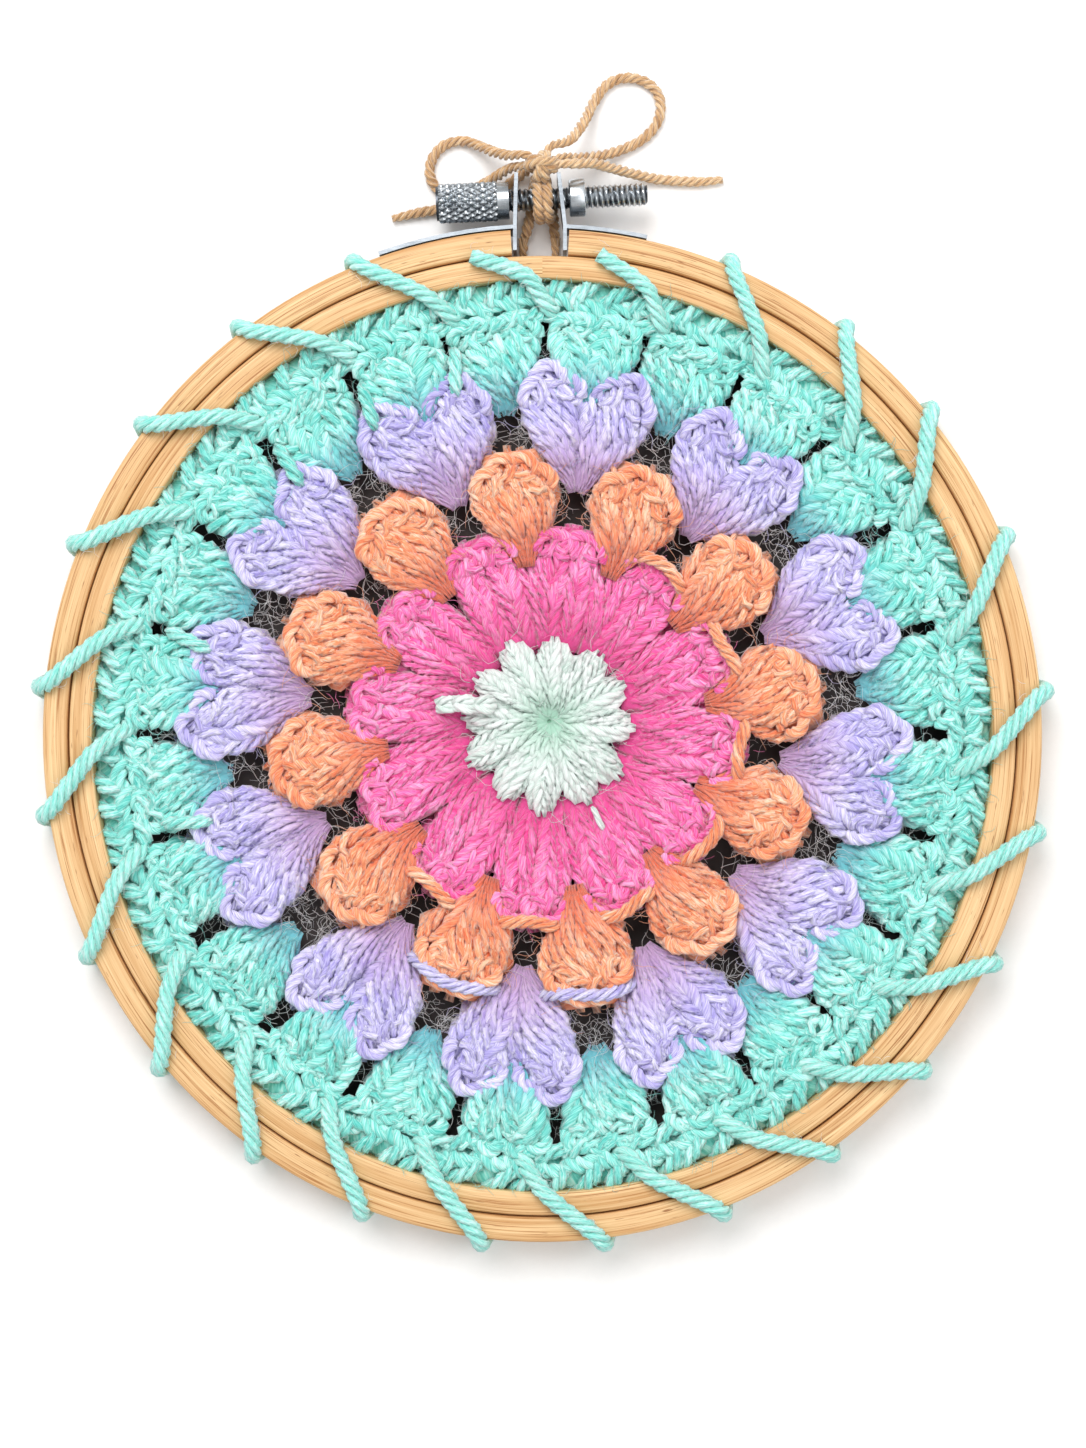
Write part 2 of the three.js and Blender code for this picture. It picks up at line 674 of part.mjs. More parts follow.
// The origin is under the middle of the hoop with its clamp, without the bow's loops and ends.
const middle = new THREE.Box3().setFromObject(hoop).getCenter(new THREE.Vector3());
const part = new THREE.Group();
part.position.set(-middle.x, -middle.y, 0);
part.add(hoop, cords);

export default part;
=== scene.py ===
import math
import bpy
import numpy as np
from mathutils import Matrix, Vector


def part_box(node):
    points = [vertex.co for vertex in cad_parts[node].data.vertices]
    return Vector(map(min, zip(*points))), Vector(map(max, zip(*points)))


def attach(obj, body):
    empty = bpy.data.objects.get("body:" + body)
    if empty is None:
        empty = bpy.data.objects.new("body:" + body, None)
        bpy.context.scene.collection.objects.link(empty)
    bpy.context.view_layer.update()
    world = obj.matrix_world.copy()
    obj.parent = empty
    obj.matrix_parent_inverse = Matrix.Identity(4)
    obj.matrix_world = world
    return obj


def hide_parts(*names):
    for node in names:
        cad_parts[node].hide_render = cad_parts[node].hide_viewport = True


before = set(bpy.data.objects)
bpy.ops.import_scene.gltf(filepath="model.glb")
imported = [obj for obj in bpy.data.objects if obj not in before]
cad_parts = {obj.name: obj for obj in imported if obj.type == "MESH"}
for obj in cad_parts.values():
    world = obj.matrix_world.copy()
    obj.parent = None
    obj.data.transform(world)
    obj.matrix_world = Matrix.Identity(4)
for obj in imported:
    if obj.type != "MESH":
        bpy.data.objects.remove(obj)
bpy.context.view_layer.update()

# %% [markdown]
# A crocheted flower is lashed into a wooden embroidery hoop that lies on its back. The packed
# model is the fixed frame. Sizes below are millimetres in the hoop: x and y from its middle, z
# from the surface that it lies on, and a clock angle, in degrees clockwise from the clamp. Points
# become metres only when a mesh is built, so the numbers stay those of a maker's ruler.

MM = 0.001
ring_low, ring_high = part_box("hoop_inner_ring")
HOOP = (ring_low + ring_high) / 2
RING_FRONT = ring_high.z / MM
RING_BACK = ring_low.z / MM
RING_MIDDLE = (RING_FRONT + RING_BACK) / 2
# Radii of the outer ring's outside, the seam between the rings, and the inner ring's inside.
OUTSIDE, SEAM, INSIDE = 79.8, 75.6, 71.9
# How much more the hoop reaches towards the clamp, and away from it, than to its sides.
OVAL = 1.1
# The least gap between two pieces that touch on the real thing.
CLEAR = 0.3
# Where the flower ends, and the height of its middle over the surface.
EDGE = INSIDE - CLEAR
MIDDLE = 7.2
# Nothing goes lower than this.
FLOOR = 0.05
RANDOM = np.random.default_rng(12)


def placed(points):
    """Millimetres in the hoop become metres in the row frame."""
    return np.asarray(points, float) * MM + (HOOP.x, HOOP.y, 0)


print("hoop middle", tuple(round(v, 5) for v in HOOP), "front of the rings", RING_FRONT)

# %% [markdown]
# The photograph looks straight down on the hoop from about half a metre. A long lens on a camera
# with a 36 mm sensor gives the same slight perspective on the rings, so it is placed first, and
# everything after it is judged through it. A new camera looks straight down as it is.

# %% Camera
CAMERA_AT = (0.00003, -0.00367, 0.4915)


def deselected():
    """Leaves edit mode and selects nothing, because an operator acts on all that is selected."""
    if bpy.context.object and bpy.context.object.mode != "OBJECT":
        bpy.ops.object.mode_set(mode="OBJECT")
    bpy.ops.object.select_all(action="DESELECT")


deselected()
bpy.ops.object.camera_add(location=CAMERA_AT, rotation=(0, 0, 0))
camera = bpy.context.object
camera.data.lens = 74.8
camera.data.sensor_width = 36
bpy.context.scene.camera = camera
bpy.context.scene.view_settings.view_transform = "Standard"
print("camera", camera.data.lens, "mm at", tuple(camera.location))

# %% [markdown]
# All yarn and twine here follows lines through a few points. Two helpers make such a line: one
# rounds it, and one spaces its points evenly. Another gives the directions across and over each
# point of the line, so that a tube's sections can stand square to it.

# %% Lines and frames
# Points that a rounded line gets for each given one.
BETWEEN = 12


def distances(line):
    """How far along a line each of its points lies."""
    steps = np.linalg.norm(np.diff(line, axis=0), axis=1)
    return np.concatenate([[0], np.cumsum(steps)])


def points_at(line, at):
    """The points of a line at the given distances along it."""
    along = distances(line)
    return np.stack([np.interp(at, along, line[:, k]) for k in range(3)], axis=1)


def even(line, step):
    """The same line with points at even distances."""
    length = distances(line)[-1]
    return points_at(line, np.linspace(0, length, max(2, math.ceil(length / step) + 1)))


def curve(points, step):
    """A smooth line through the points, with even steps."""
    p = np.asarray(points, float)
    p = np.vstack([2 * p[0] - p[1], p, 2 * p[-1] - p[-2]])
    t = np.linspace(0, 1, BETWEEN, endpoint=False)[:, None]
    rows = []
    for a, b, c, d in zip(p[:-3], p[1:-2], p[2:-1], p[3:]):
        rows.append(
            0.5 * (2 * b + (c - a) * t + (2 * a - 5 * b + 4 * c - d) * t**2)
            + 0.5 * (3 * b - a - 3 * c + d) * t**3
        )
    return even(np.vstack(rows + [p[-2:-1]]), step)


def frames(line, level=True):
    """Directions across and over a line. A level frame keeps across flat; the other turns least."""
    ahead = np.gradient(line, axis=0)
    ahead /= np.maximum(np.linalg.norm(ahead, axis=1), 1e-9)[:, None]
    across = np.cross(ahead, (0, 0, 1))
    if not level:
        lead = across[0] if np.linalg.norm(across[0]) > 0.2 else np.array((1.0, 0, 0))
        for i, direction in enumerate(ahead):
            lead = lead - direction * (lead @ direction)
            lead = lead / np.linalg.norm(lead)
            across[i] = lead
    across /= np.maximum(np.linalg.norm(across, axis=1), 1e-9)[:, None]
    return across, np.cross(across, ahead)


print("lines are rounded with", BETWEEN, "points for each given one")

# %% [markdown]
# A yarn is a few soft plies twisted together. A curve with a round bevel would be one plain tube,
# so each ply is a tube of its own that winds about the strand's middle line. One class gathers
# the tubes of a piece and builds a single mesh of them, with closed ends and a UV map that runs
# along and round each ply. It has two attributes for its finish: tint says how far up its cluster
# a point lies, and shade tells one ply from the next.

# %% The sweep
# How thick each ply is beside the strand, for strands of two, three and four soft plies.
FULLNESS = {2: 0.64, 3: 0.55, 4: 0.49}


class Yarn:
    """Gathers swept plies, and builds one mesh of them."""

    def __init__(self):
        self.points, self.quads, self.caps, self.uv, self.cap_uv = [], [], [], [], []
        self.tint, self.shade, self.count = [], [], 0

    def tube(self, line, across, over, wide, high, sides, turn=0.0, tint=1.0, shade=0.5):
        """A closed tube. wide and high are its half sizes, one number or one for each point."""
        n = len(line)
        angle = np.arange(sides) * math.tau / sides
        angle = np.broadcast_to(turn, n)[:, None] + angle
        wide = np.broadcast_to(wide, n)[:, None, None]
        high = np.broadcast_to(high, n)[:, None, None]
        ring = line[:, None] + across[:, None] * wide * np.cos(angle)[..., None]
        ring = ring + over[:, None] * high * np.sin(angle)[..., None]
        index = self.count + np.arange(n * sides).reshape(n, sides)
        beside = np.roll(index, -1, axis=1)
        quads = np.stack([index[:-1], index[1:], beside[1:], beside[:-1]], axis=-1)
        u = distances(line)
        v = np.arange(sides + 1) / sides
        a, b = u[:-1, None], u[1:, None]
        left, right = v[None, :-1], v[None, 1:]
        corners = []
        for x, y in ((a, left), (b, left), (b, right), (a, right)):
            corners.append(np.stack([x + 0 * y, y + 0 * x], axis=-1))
        self.points.append(ring.reshape(-1, 3))
        self.quads.append(quads.reshape(-1, 4))
        self.uv.append(np.stack(corners, axis=2).reshape(-1, 2))
        self.caps += [index[0], index[-1][::-1]]
        self.cap_uv += [(u[0], 0.5), (u[-1], 0.5)]
        self.tint.append(np.repeat(np.broadcast_to(tint, n), sides))
        self.shade.append(np.full(n * sides, shade))
        self.count += n * sides

    def strand(self, line, thick, plies=3, pitch=9.0, hand=1, sides=5, tint=1.0, level=True,
               pointed=0.45):
        """Plies twisted together along a line. thick is one number or one for each point."""
        across, over = frames(line, level)
        reach = distances(line)
        share = reach / reach[-1]
        # The first and last seventh of a strand thin to the share that pointed gives.
        ends = np.minimum(1, pointed + (1 - pointed) * np.minimum(share, 1 - share) * 7)
        radius = np.broadcast_to(thick, len(line)) / 2 * ends
        full = FULLNESS[plies]
        start = RANDOM.uniform(0, math.tau)
        for k in range(plies):
            turn = start + hand * math.tau * reach / pitch + math.tau * k / plies
            out = across * np.cos(turn)[:, None] + over * np.sin(turn)[:, None]
            # A ply is a little thicker and thinner along its length.
            waver = 1 + 0.08 * np.sin(reach * 1.9 + RANDOM.uniform(0, 6))
            size = radius * full * waver
            orbit = (radius * (1.04 - full))[:, None]
            shade = RANDOM.uniform(0, 1)
            self.tube(line + out * orbit, across, over, size, size, sides, turn, tint, shade)

    def build(self, name, change=None):
        """One mesh object of everything gathered, in metres in the row frame."""
        points = np.vstack(self.points)
        if change:
            points = change(points)
        mesh = bpy.data.meshes.new(name)
        mesh.vertices.add(len(points))
        mesh.vertices.foreach_set("co", placed(points).astype(np.float32).ravel())
        quads = np.vstack(self.quads)
        sizes = np.array([4] * len(quads) + [len(cap) for cap in self.caps])
        loops = np.concatenate([quads.ravel(), *self.caps])
        mesh.loops.add(len(loops))
        mesh.loops.foreach_set("vertex_index", loops.astype(np.int32))
        mesh.polygons.add(len(sizes))
        starts = np.concatenate([[0], np.cumsum(sizes)[:-1]])
        mesh.polygons.foreach_set("loop_start", starts.astype(np.int32))
        mesh.update(calc_edges=True)
        cap_uv = [np.tile(uv, (len(cap), 1)) for uv, cap in zip(self.cap_uv, self.caps)]
        layer = mesh.uv_layers.new(name="along")
        layer.data.foreach_set("uv", np.vstack(self.uv + cap_uv).astype(np.float32).ravel())
        for title, rows in (("tint", self.tint), ("shade", self.shade)):
            attribute = mesh.attributes.new(title, "FLOAT", "POINT")
            attribute.data.foreach_set("value", np.concatenate(rows).astype(np.float32))
        mesh.validate()
        mesh.shade_smooth()
        piece = bpy.data.objects.new(name, mesh)
        bpy.context.scene.collection.objects.link(piece)
        mesh.calc_loop_triangles()
        print(name, len(mesh.loop_triangles), "triangles")
        return piece


print("a strand has", " or ".join(str(plies) for plies in FULLNESS), "plies")

# %% [markdown]
# The twine has four free lengths: two loops of the bow and two ends. Each keeps the route of its
# solid, and lies on the surface where it can. Jute twine is three fluffy plies twisted hard, so
# each length is a mesh swept along its route, and not a plain tube.

# %% The twine's free lengths
TWINE = 1.8
TWIST = {"plies": 3, "pitch": 4.0, "sides": 7, "level": False}
LOOP_LEFT = [
    (-0.8, 92.3, 9.6), (-2.8, 92.9, 10.5), (-5.4, 93.2, 8.2), (-7.9, 94.3, 5.4),
    (-10.4, 95.8, 2.6), (-13.0, 96.9, 0.9), (-15.9, 96.3, 0.9), (-17.9, 94.2, 0.9),
    (-18.4, 91.5, 0.9), (-17.2, 89.2, 0.9), (-14.6, 88.5, 0.9), (-11.4, 89.0, 1.1),
    (-8.2, 90.3, 3.0), (-5.4, 91.4, 6.0), (-3.0, 91.4, 8.8), (-1.0, 91.2, 9.6),
]
LOOP_RIGHT = [
    (0.4, 92.6, 10.2), (1.5, 94.4, 10.2), (4.4, 95.8, 7.4), (6.7, 99.4, 4.0),
    (8.3, 103.0, 1.7), (10.7, 106.2, 0.9), (13.8, 107.2, 0.9), (16.6, 106.6, 0.9),
    (18.6, 105.0, 0.9), (19.3, 102.3, 0.9), (18.5, 99.5, 0.9), (16.2, 97.1, 0.9),
    (13.0, 95.5, 1.2), (9.2, 94.1, 3.0), (5.6, 93.2, 6.2), (3.1, 92.8, 9.0), (1.2, 91.8, 10.2),
]
TAIL_LEFT = [
    (-0.3, 91.4, 9.4), (-0.6, 92.0, 7.0), (-1.6, 92.2, 3.6), (-4.0, 91.0, 1.0), (-7.5, 88.4, 0.9),
    (-11.0, 86.6, 0.9), (-14.5, 85.9, 0.9), (-18.0, 85.6, 0.9), (-21.3, 85.0, 0.9),
    (-24.5, 84.2, 0.9),
]
TAIL_RIGHT = [
    (0.8, 90.8, 10.2), (3.1, 91.3, 10.9), (5.4, 91.5, 10.6), (8.2, 91.9, 8.6), (11.4, 91.6, 5.6),
    (14.8, 91.2, 2.9), (18.4, 90.7, 1.2), (22.2, 90.4, 0.9), (26.0, 90.3, 0.9), (29.4, 90.6, 0.9),
]
LENGTHS = {
    "loop_left": (LOOP_LEFT, "object"),
    "loop_right": (LOOP_RIGHT, "object"),
    "tail_left": (TAIL_LEFT, "bare"),
    "tail_right": (TAIL_RIGHT, "bare"),
}


def above_floor(points):
    """Flattens what would sink into the surface."""
    points[:, 2] = np.maximum(points[:, 2], FLOOR)
    return points


def finished(piece, slot, material, *nodes):
    """Gives a piece its body and its material, and hides the nodes that it stands for. slot is not
    used.
    """
    piece.data.materials.clear()
    piece.data.materials.append(material)
    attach(piece, "root")
    if nodes:
        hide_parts(*nodes)


twine_pieces = []
for name, (route, far_end) in LENGTHS.items():
    line = curve(route, 0.45)
    cord = Yarn()
    cord.strand(line, TWINE, **TWIST, pointed=0.7)
    piece = cord.build(f"twine_cord_{name}", above_floor)
    twine_pieces.append((piece, f"twine_{name}"))

# %% [markdown]
# A finish is a small graph of nodes. To write one like arithmetic, a class wraps a socket, and
# each operator adds a Math node. Any other node comes from one method, with its settings first.

# %% Shader arithmetic
class Value:
    """A number that varies over a surface."""

    def __init__(self, finish, socket):
        self.finish, self.socket = finish, socket

    def math(self, operation, *others):
        inputs = dict(enumerate((self, *others)))
        return self.finish.node("ShaderNodeMath", {"operation": operation}, inputs)

    def __add__(self, other):
        return self.math("ADD", other)

    def __mul__(self, other):
        return self.math("MULTIPLY", other)

    __radd__ = __add__
    __rmul__ = __mul__


class Finish:
    """A material with its Principled shader. Constants go on the shader's own sockets."""

    def __init__(self, name, **constants):
        self.material = bpy.data.materials.new(name)
        self.material.use_nodes = True
        self.tree = self.material.node_tree
        self.shader = self.tree.nodes["Principled BSDF"]
        for socket, value in constants.items():
            self.shader.inputs[socket.replace("_", " ")].default_value = value

    def node(self, kind, settings=None, inputs=None, output=0):
        """A node with its settings, and the values or links of its sockets."""
        made = self.tree.nodes.new(kind)
        for name, value in (settings or {}).items():
            setattr(made, name, value)
        for name, value in (inputs or {}).items():
            if isinstance(value, Value):
                self.tree.links.new(value.socket, made.inputs[name])
            else:
                made.inputs[name].default_value = value
        return Value(self, made.outputs[output])

    def use(self, **links):
        """Links values to the shader's sockets."""
        for socket, value in links.items():
            self.tree.links.new(value.socket, self.shader.inputs[socket.replace("_", " ")])

    def places(self):
        """Where a point lies, in the metres of the piece's mesh."""
        return self.node("ShaderNodeTexCoord", output=3)

    def attribute(self, name):
        """A number that the mesh holds at each of its points."""
        return self.node("ShaderNodeAttribute", {"attribute_name": name}, output=2)

    def parts(self, vector):
        """The three numbers of a vector."""
        return [self.node("ShaderNodeSeparateXYZ", None, {0: vector}, k) for k in range(3)]

    def mixed(self, share, first, second):
        """Two colours mixed by a share."""
        inputs = {0: share, 6: first, 7: second}
        return self.node("ShaderNodeMix", {"data_type": "RGBA"}, inputs, output=2)

    def noise(self, vector, scale, detail, rough):
        inputs = {"Vector": vector, "Scale": scale, "Detail": detail, "Roughness": rough}
        return self.node("ShaderNodeTexNoise", None, inputs)

    def spread(self, value, low, high):
        """A number moved so that low becomes 0 and high becomes 1, and no further."""
        inputs = {0: value, 1: low, 2: high}
        return self.node("ShaderNodeMapRange", {"clamp": True}, inputs)

    def bump(self, height, strength, distance):
        inputs = {"Height": height, "Strength": strength, "Distance": distance}
        self.use(Normal=self.node("ShaderNodeBump", None, inputs))


def linear(red, green, blue):
    """A colour picked on screen, from 0 to 255, as the numbers that light is worked out in."""
    parts = [v / 255 for v in (red, green, blue)]
    parts = [v / 12.92 if v <= 0.04045 else ((v + 0.055) / 1.055) ** 2.4 for v in parts]
    return (*parts, 1)


print("middle grey on screen is", round(linear(128, 128, 128)[0], 3), "in light")

# %% [markdown]
# Spun yarn shows fine fibres that lie along each ply, a little lighter and darker, and its colour
# varies from ply to ply. The streaks follow the piece's UV map, which runs along and round each
# ply. Where a stitch is pulled through its neighbour, colour of the neighbour shows at its root.
# A little light passes through the fibres, and their fluff catches some of it as sheen.

# %% Yarn finish
def yarn_finish(name, pale, main, deep, root):
    """Three colours of the plies, from light to dark, and the colour at a cluster's root."""
    finish = Finish(
        name, Roughness=0.9, Sheen_Weight=0.6, Sheen_Roughness=0.5, Specular_IOR_Level=0.25,
        Subsurface_Weight=0.2, Subsurface_Scale=0.0012, Subsurface_Radius=(1, 1, 1),
    )
    tint = finish.attribute("tint")
    shade = finish.attribute("shade")
    along, about, _ = finish.parts(finish.node("ShaderNodeUVMap", {"uv_map": "along"}))
    # The fibres lie slightly askew on the ply, and each ply has its own cut of the pattern.
    fibre = finish.node(
        "ShaderNodeCombineXYZ", None,
        {0: along * 0.3, 1: (about + along * 0.09) * 9.0, 2: shade * 40.0},
    )
    streak = finish.noise(fibre, 1.7, 3.0, 0.6)
    light = finish.spread(streak, 0.36, 0.64) * 0.62 + shade * 0.38
    body = finish.mixed(finish.spread(light, 0.0, 0.55), linear(*deep), linear(*main))
    body = finish.mixed(finish.spread(light, 0.5, 1.0), body, linear(*pale))
    rooted = finish.mixed(finish.spread(tint, 0.0, 0.55), linear(*root), body)
    finish.use(Base_Color=rooted)
    finish.bump(streak, 0.55, 0.0003)
    return finish.material


JUTE_DARK = (152, 108, 68)
TWINE_FINISH = yarn_finish("jute_twine", (250, 222, 184), (216, 172, 124), JUTE_DARK, JUTE_DARK)
for piece, node in twine_pieces:
    finished(piece, "jute_twine", TWINE_FINISH, node)
print(TWINE_FINISH.name, "on", len(twine_pieces), "lengths")

# %% [markdown]
# The two wooden rings are strips of bamboo bent round and glued. Each could be a torus, but the
# real ones have a flat, oblong section with eased corners. So one section is drawn, its corners
# are bevelled, and it is spun about the hoop's middle. The outer ring stops short of a full turn
# at the clamp. A last stretch along Y gives the slight oval.

# %% Wooden rings
RING_STEPS = 180
RING_WIDE = 3.9
EASED = 0.55
# The split in the outer ring: its two ends left and right of the middle, and the radius there.
SPLIT_LEFT, SPLIT_RIGHT, SPLIT_RADIUS = -5.0, 4.2, 77.9


def settled(name):
    """Leaves the object that was just modelled at the origin, with its place in its mesh."""
    bpy.ops.object.mode_set(mode="OBJECT")
    piece = bpy.context.object
    piece.name = name
    bpy.ops.object.transform_apply(location=True, rotation=True, scale=True)
    print(name, len(piece.data.polygons), "faces")
    return piece


def smoothed(piece, angle):
    """Smooth shading, but for edges sharper than the angle."""
    deselected()
    piece.select_set(True)
    bpy.context.view_layer.objects.active = piece
    bpy.ops.object.shade_smooth()
    bpy.ops.object.shade_smooth_by_angle(angle=math.radians(angle))
    return piece


def wooden_ring(name, outer, inner, from_clock, to_clock):
    """A ring between two radii. It has ends unless it goes all the way round."""
    deselected()
    middle = (outer + inner) / 2
    clock = math.radians(from_clock)
    at = placed([[middle * math.sin(clock), middle * math.cos(clock), RING_MIDDLE]])[0]
    bpy.ops.mesh.primitive_plane_add(
        size=1, location=at, rotation=(math.pi / 2, 0, math.pi / 2 - clock)
    )
    bpy.context.object.scale = ((outer - inner) * MM, (RING_FRONT - RING_BACK) * MM, 1)
    bpy.ops.object.transform_apply(location=True, rotation=True, scale=True)
    bpy.ops.object.mode_set(mode="EDIT")
    bpy.ops.mesh.select_all(action="SELECT")
    bpy.ops.mesh.bevel(offset=EASED * MM, segments=3, affect="VERTICES")
    if to_clock - from_clock >= 360:
        bpy.ops.mesh.delete(type="ONLY_FACE")
        bpy.ops.mesh.select_all(action="SELECT")
    bpy.ops.mesh.spin(
        steps=RING_STEPS, angle=math.radians(to_clock - from_clock),
        center=(HOOP.x, HOOP.y, 0), axis=(0, 0, 1),
    )
    bpy.ops.mesh.select_all(action="SELECT")
    bpy.ops.mesh.remove_doubles(threshold=0.00001)
    bpy.ops.mesh.fill_holes(sides=0)
    bpy.ops.mesh.select_all(action="SELECT")
    bpy.ops.mesh.normals_make_consistent(inside=False)
    bpy.ops.transform.resize(
        value=(1, (OUTSIDE + OVAL) / OUTSIDE, 1), center_override=(HOOP.x, HOOP.y, 0)
    )
    return smoothed(settled(name), 40)


def split_clock(x):
    """The clock angle of one end of the outer ring."""
    return math.degrees(math.asin(x / SPLIT_RADIUS))


wood_outer = wooden_ring(
    "ring_outer", OUTSIDE, OUTSIDE - RING_WIDE, split_clock(SPLIT_RIGHT),
    360 + split_clock(SPLIT_LEFT),
)
wood_inner = wooden_ring("ring_inner", SEAM, INSIDE, 0, 360)

# %% [markdown]
# Bamboo shows fine straight fibres that run round with the ring, wider pale and honey bands, and
# short dark flecks where a vessel is cut open. The pattern is noise in the ring's own polar
# coordinates, worked out from Object coordinates: stretched far along the ring and fine across it.

# %% Bamboo finish
# Metres round the ring for each radian, and what takes the oval out of a squared y.
RADIAN = 0.0757
UNOVAL = 0.973


def bamboo_finish(name, lift):
    """lift moves the pattern, so that the two rings differ."""
    finish = Finish(name, Specular_IOR_Level=0.4)
    centred = {"Vector": finish.places(), "Location": (-HOOP.x, -HOOP.y, 0)}
    x, y, z = finish.parts(finish.node("ShaderNodeMapping", None, centred))
    along = x.math("ARCTAN2", y * -1.0) * RADIAN
    reach = (x * x + y * y * UNOVAL).math("SQRT")

    def grain(lengthwise, crosswise):
        return finish.node(
            "ShaderNodeCombineXYZ", None,
            {0: along * lengthwise, 1: reach * crosswise, 2: z * crosswise + lift},
        )

    bands = finish.noise(grain(14.0, 760.0), 1.0, 3.0, 0.6)
    fibre = finish.noise(grain(50.0, 4200.0), 1.0, 3.0, 0.7)
    flecks = finish.noise(grain(330.0, 3600.0), 1.0, 1.0, 0.4)
    tone = finish.spread(bands * 0.5 + fibre * 0.5, 0.36, 0.64)
    honey = finish.mixed(tone, linear(196, 142, 84), linear(240, 203, 152))
    line = finish.spread(fibre, 0.36, 0.44)
    honey = finish.mixed(line, linear(168, 112, 62), honey)
    mark = finish.spread(flecks, 0.22, 0.29)
    finish.use(Base_Color=finish.mixed(mark, linear(158, 108, 64), honey))
    finish.use(Roughness=fibre * 0.25 + 0.36)
    finish.bump(fibre * 0.7 + bands * 0.3, 0.35, 0.0003)
    return finish.material


finished(wood_outer, "hoop_wood", bamboo_finish("bamboo_outer", 3.1), "hoop_outer_ring")
finished(wood_inner, "hoop_wood", bamboo_finish("bamboo_inner", 8.7), "hoop_inner_ring")
print("bamboo on", wood_outer.name, "and", wood_inner.name)

# %% [markdown]
# The flower is worked in rounds from its middle. It is laid out as a flat, round disc first, and
# each point is then settled in the hoop: the rim follows the oval, and the middle sits a little
# off centre, as the real flower was lashed in.

# %% Spots in the flower
DRIFT_X, DRIFT_Y = 1.1, 2.3


def spot(radius, clock, z=MIDDLE):
    """Points of the flat flower."""
    angle = np.radians(clock)
    return np.stack(np.broadcast_arrays(radius * np.sin(angle), radius * np.cos(angle), z), -1)


def settle(points):
    """The same points where the hoop holds them."""
    points = np.array(points, float).reshape(-1, 3)
    reach = np.minimum(1, np.hypot(points[:, 0], points[:, 1]) / EDGE)
    stretch = OVAL * reach * points[:, 1] / EDGE
    points[:, 0] += DRIFT_X * (1 - reach)
    points[:, 1] += DRIFT_Y * (1 - reach) + stretch
    return points


def smooth(x):
    """An easy climb from 0 to 1."""
    x = np.clip(x, 0, 1)
    return x * x * (3 - 2 * x)


print("middle of the flower", settle(spot(0, 0))[0].round(1), "mm")

# %% [markdown]
# Brushed yarn sheds fine hairs, which soften every edge of the real flower. Each is a thin
# three-sided tube on a random, seeded curl. Where yarn is chained, each stitch shows as a pair of
# legs that meet inside the next one, so a chain is built leg by leg along its line.

# %% Hairs and chain stitches
# How the half thickness of a hair falls from its root to its end.
TAPER = np.array([1, 1, 1, 0.9, 0.75, 0.4])
# A leg of a chain stitch: how far along the stitch, how far aside and how high its points lie.
LEG_ALONG = np.array([-0.12, 0.2, 0.5, 0.8, 1.1, 1.3])
LEG_ASIDE = np.array([0.12, 0.75, 1.0, 0.85, 0.45, 0.1])
LEG_RISE = np.array([-0.45, 0.1, 0.42, 0.5, 0.25, -0.35]) + 0.2


def hair(yarn, start, heading, length, curl, thick=0.1):
    """A thin fibre that wanders off from a start."""
    count = len(TAPER) - 1
    turn = heading + np.cumsum(np.full(count, curl) + RANDOM.normal(0, 0.3, count))
    climb = RANDOM.normal(0, 0.12)
    moves = np.stack([np.cos(turn), np.sin(turn), np.full(count, climb)], axis=1) * length / count
    line = start + np.vstack([np.zeros(3), np.cumsum(moves, axis=0)])
    across, over = frames(line)
    taper = thick / 2 * TAPER
    yarn.tube(line, across, over, taper, taper, 3)


def chain_row(yarn, spine, pitch, wide, thick):
    """Chain stitches along a line, in a whole number of stitches."""
    spine = even(spine, 0.25)
    across, over = frames(spine)
    reach = distances(spine)
    links = max(1, round(reach[-1] / pitch))
    pitch = reach[-1] / links
    for i in range(links):
        for way in (-1, 1):
            at = np.clip((i + LEG_ALONG) * pitch, 0, reach[-1])
            row = np.clip(np.searchsorted(reach, at), 0, len(spine) - 1)
            aside = across[row] * (way * wide * LEG_ASIDE)[:, None] * RANDOM.uniform(0.9, 1.1)
            line = curve(points_at(spine, at) + aside + over[row] * LEG_RISE[:, None], 1.0)
            yarn.strand(line, thick * RANDOM.uniform(0.92, 1.08), pitch=7.5, hand=way)


print("a chain stitch has two legs of", len(LEG_ALONG), "points")

# %% [markdown]
# A cluster is a group of tall stitches that start in one place and are closed together at the
# top. Seen from the front, strands of yarn fan out from a pinched root over a soft dome. A smooth
# dome with a bump map would lose the deep gaps between the strands, so each strand is swept on
# the dome by itself, and loose plies and hairs are laid between. A plain core inside keeps what
# lies behind the cluster from showing through.

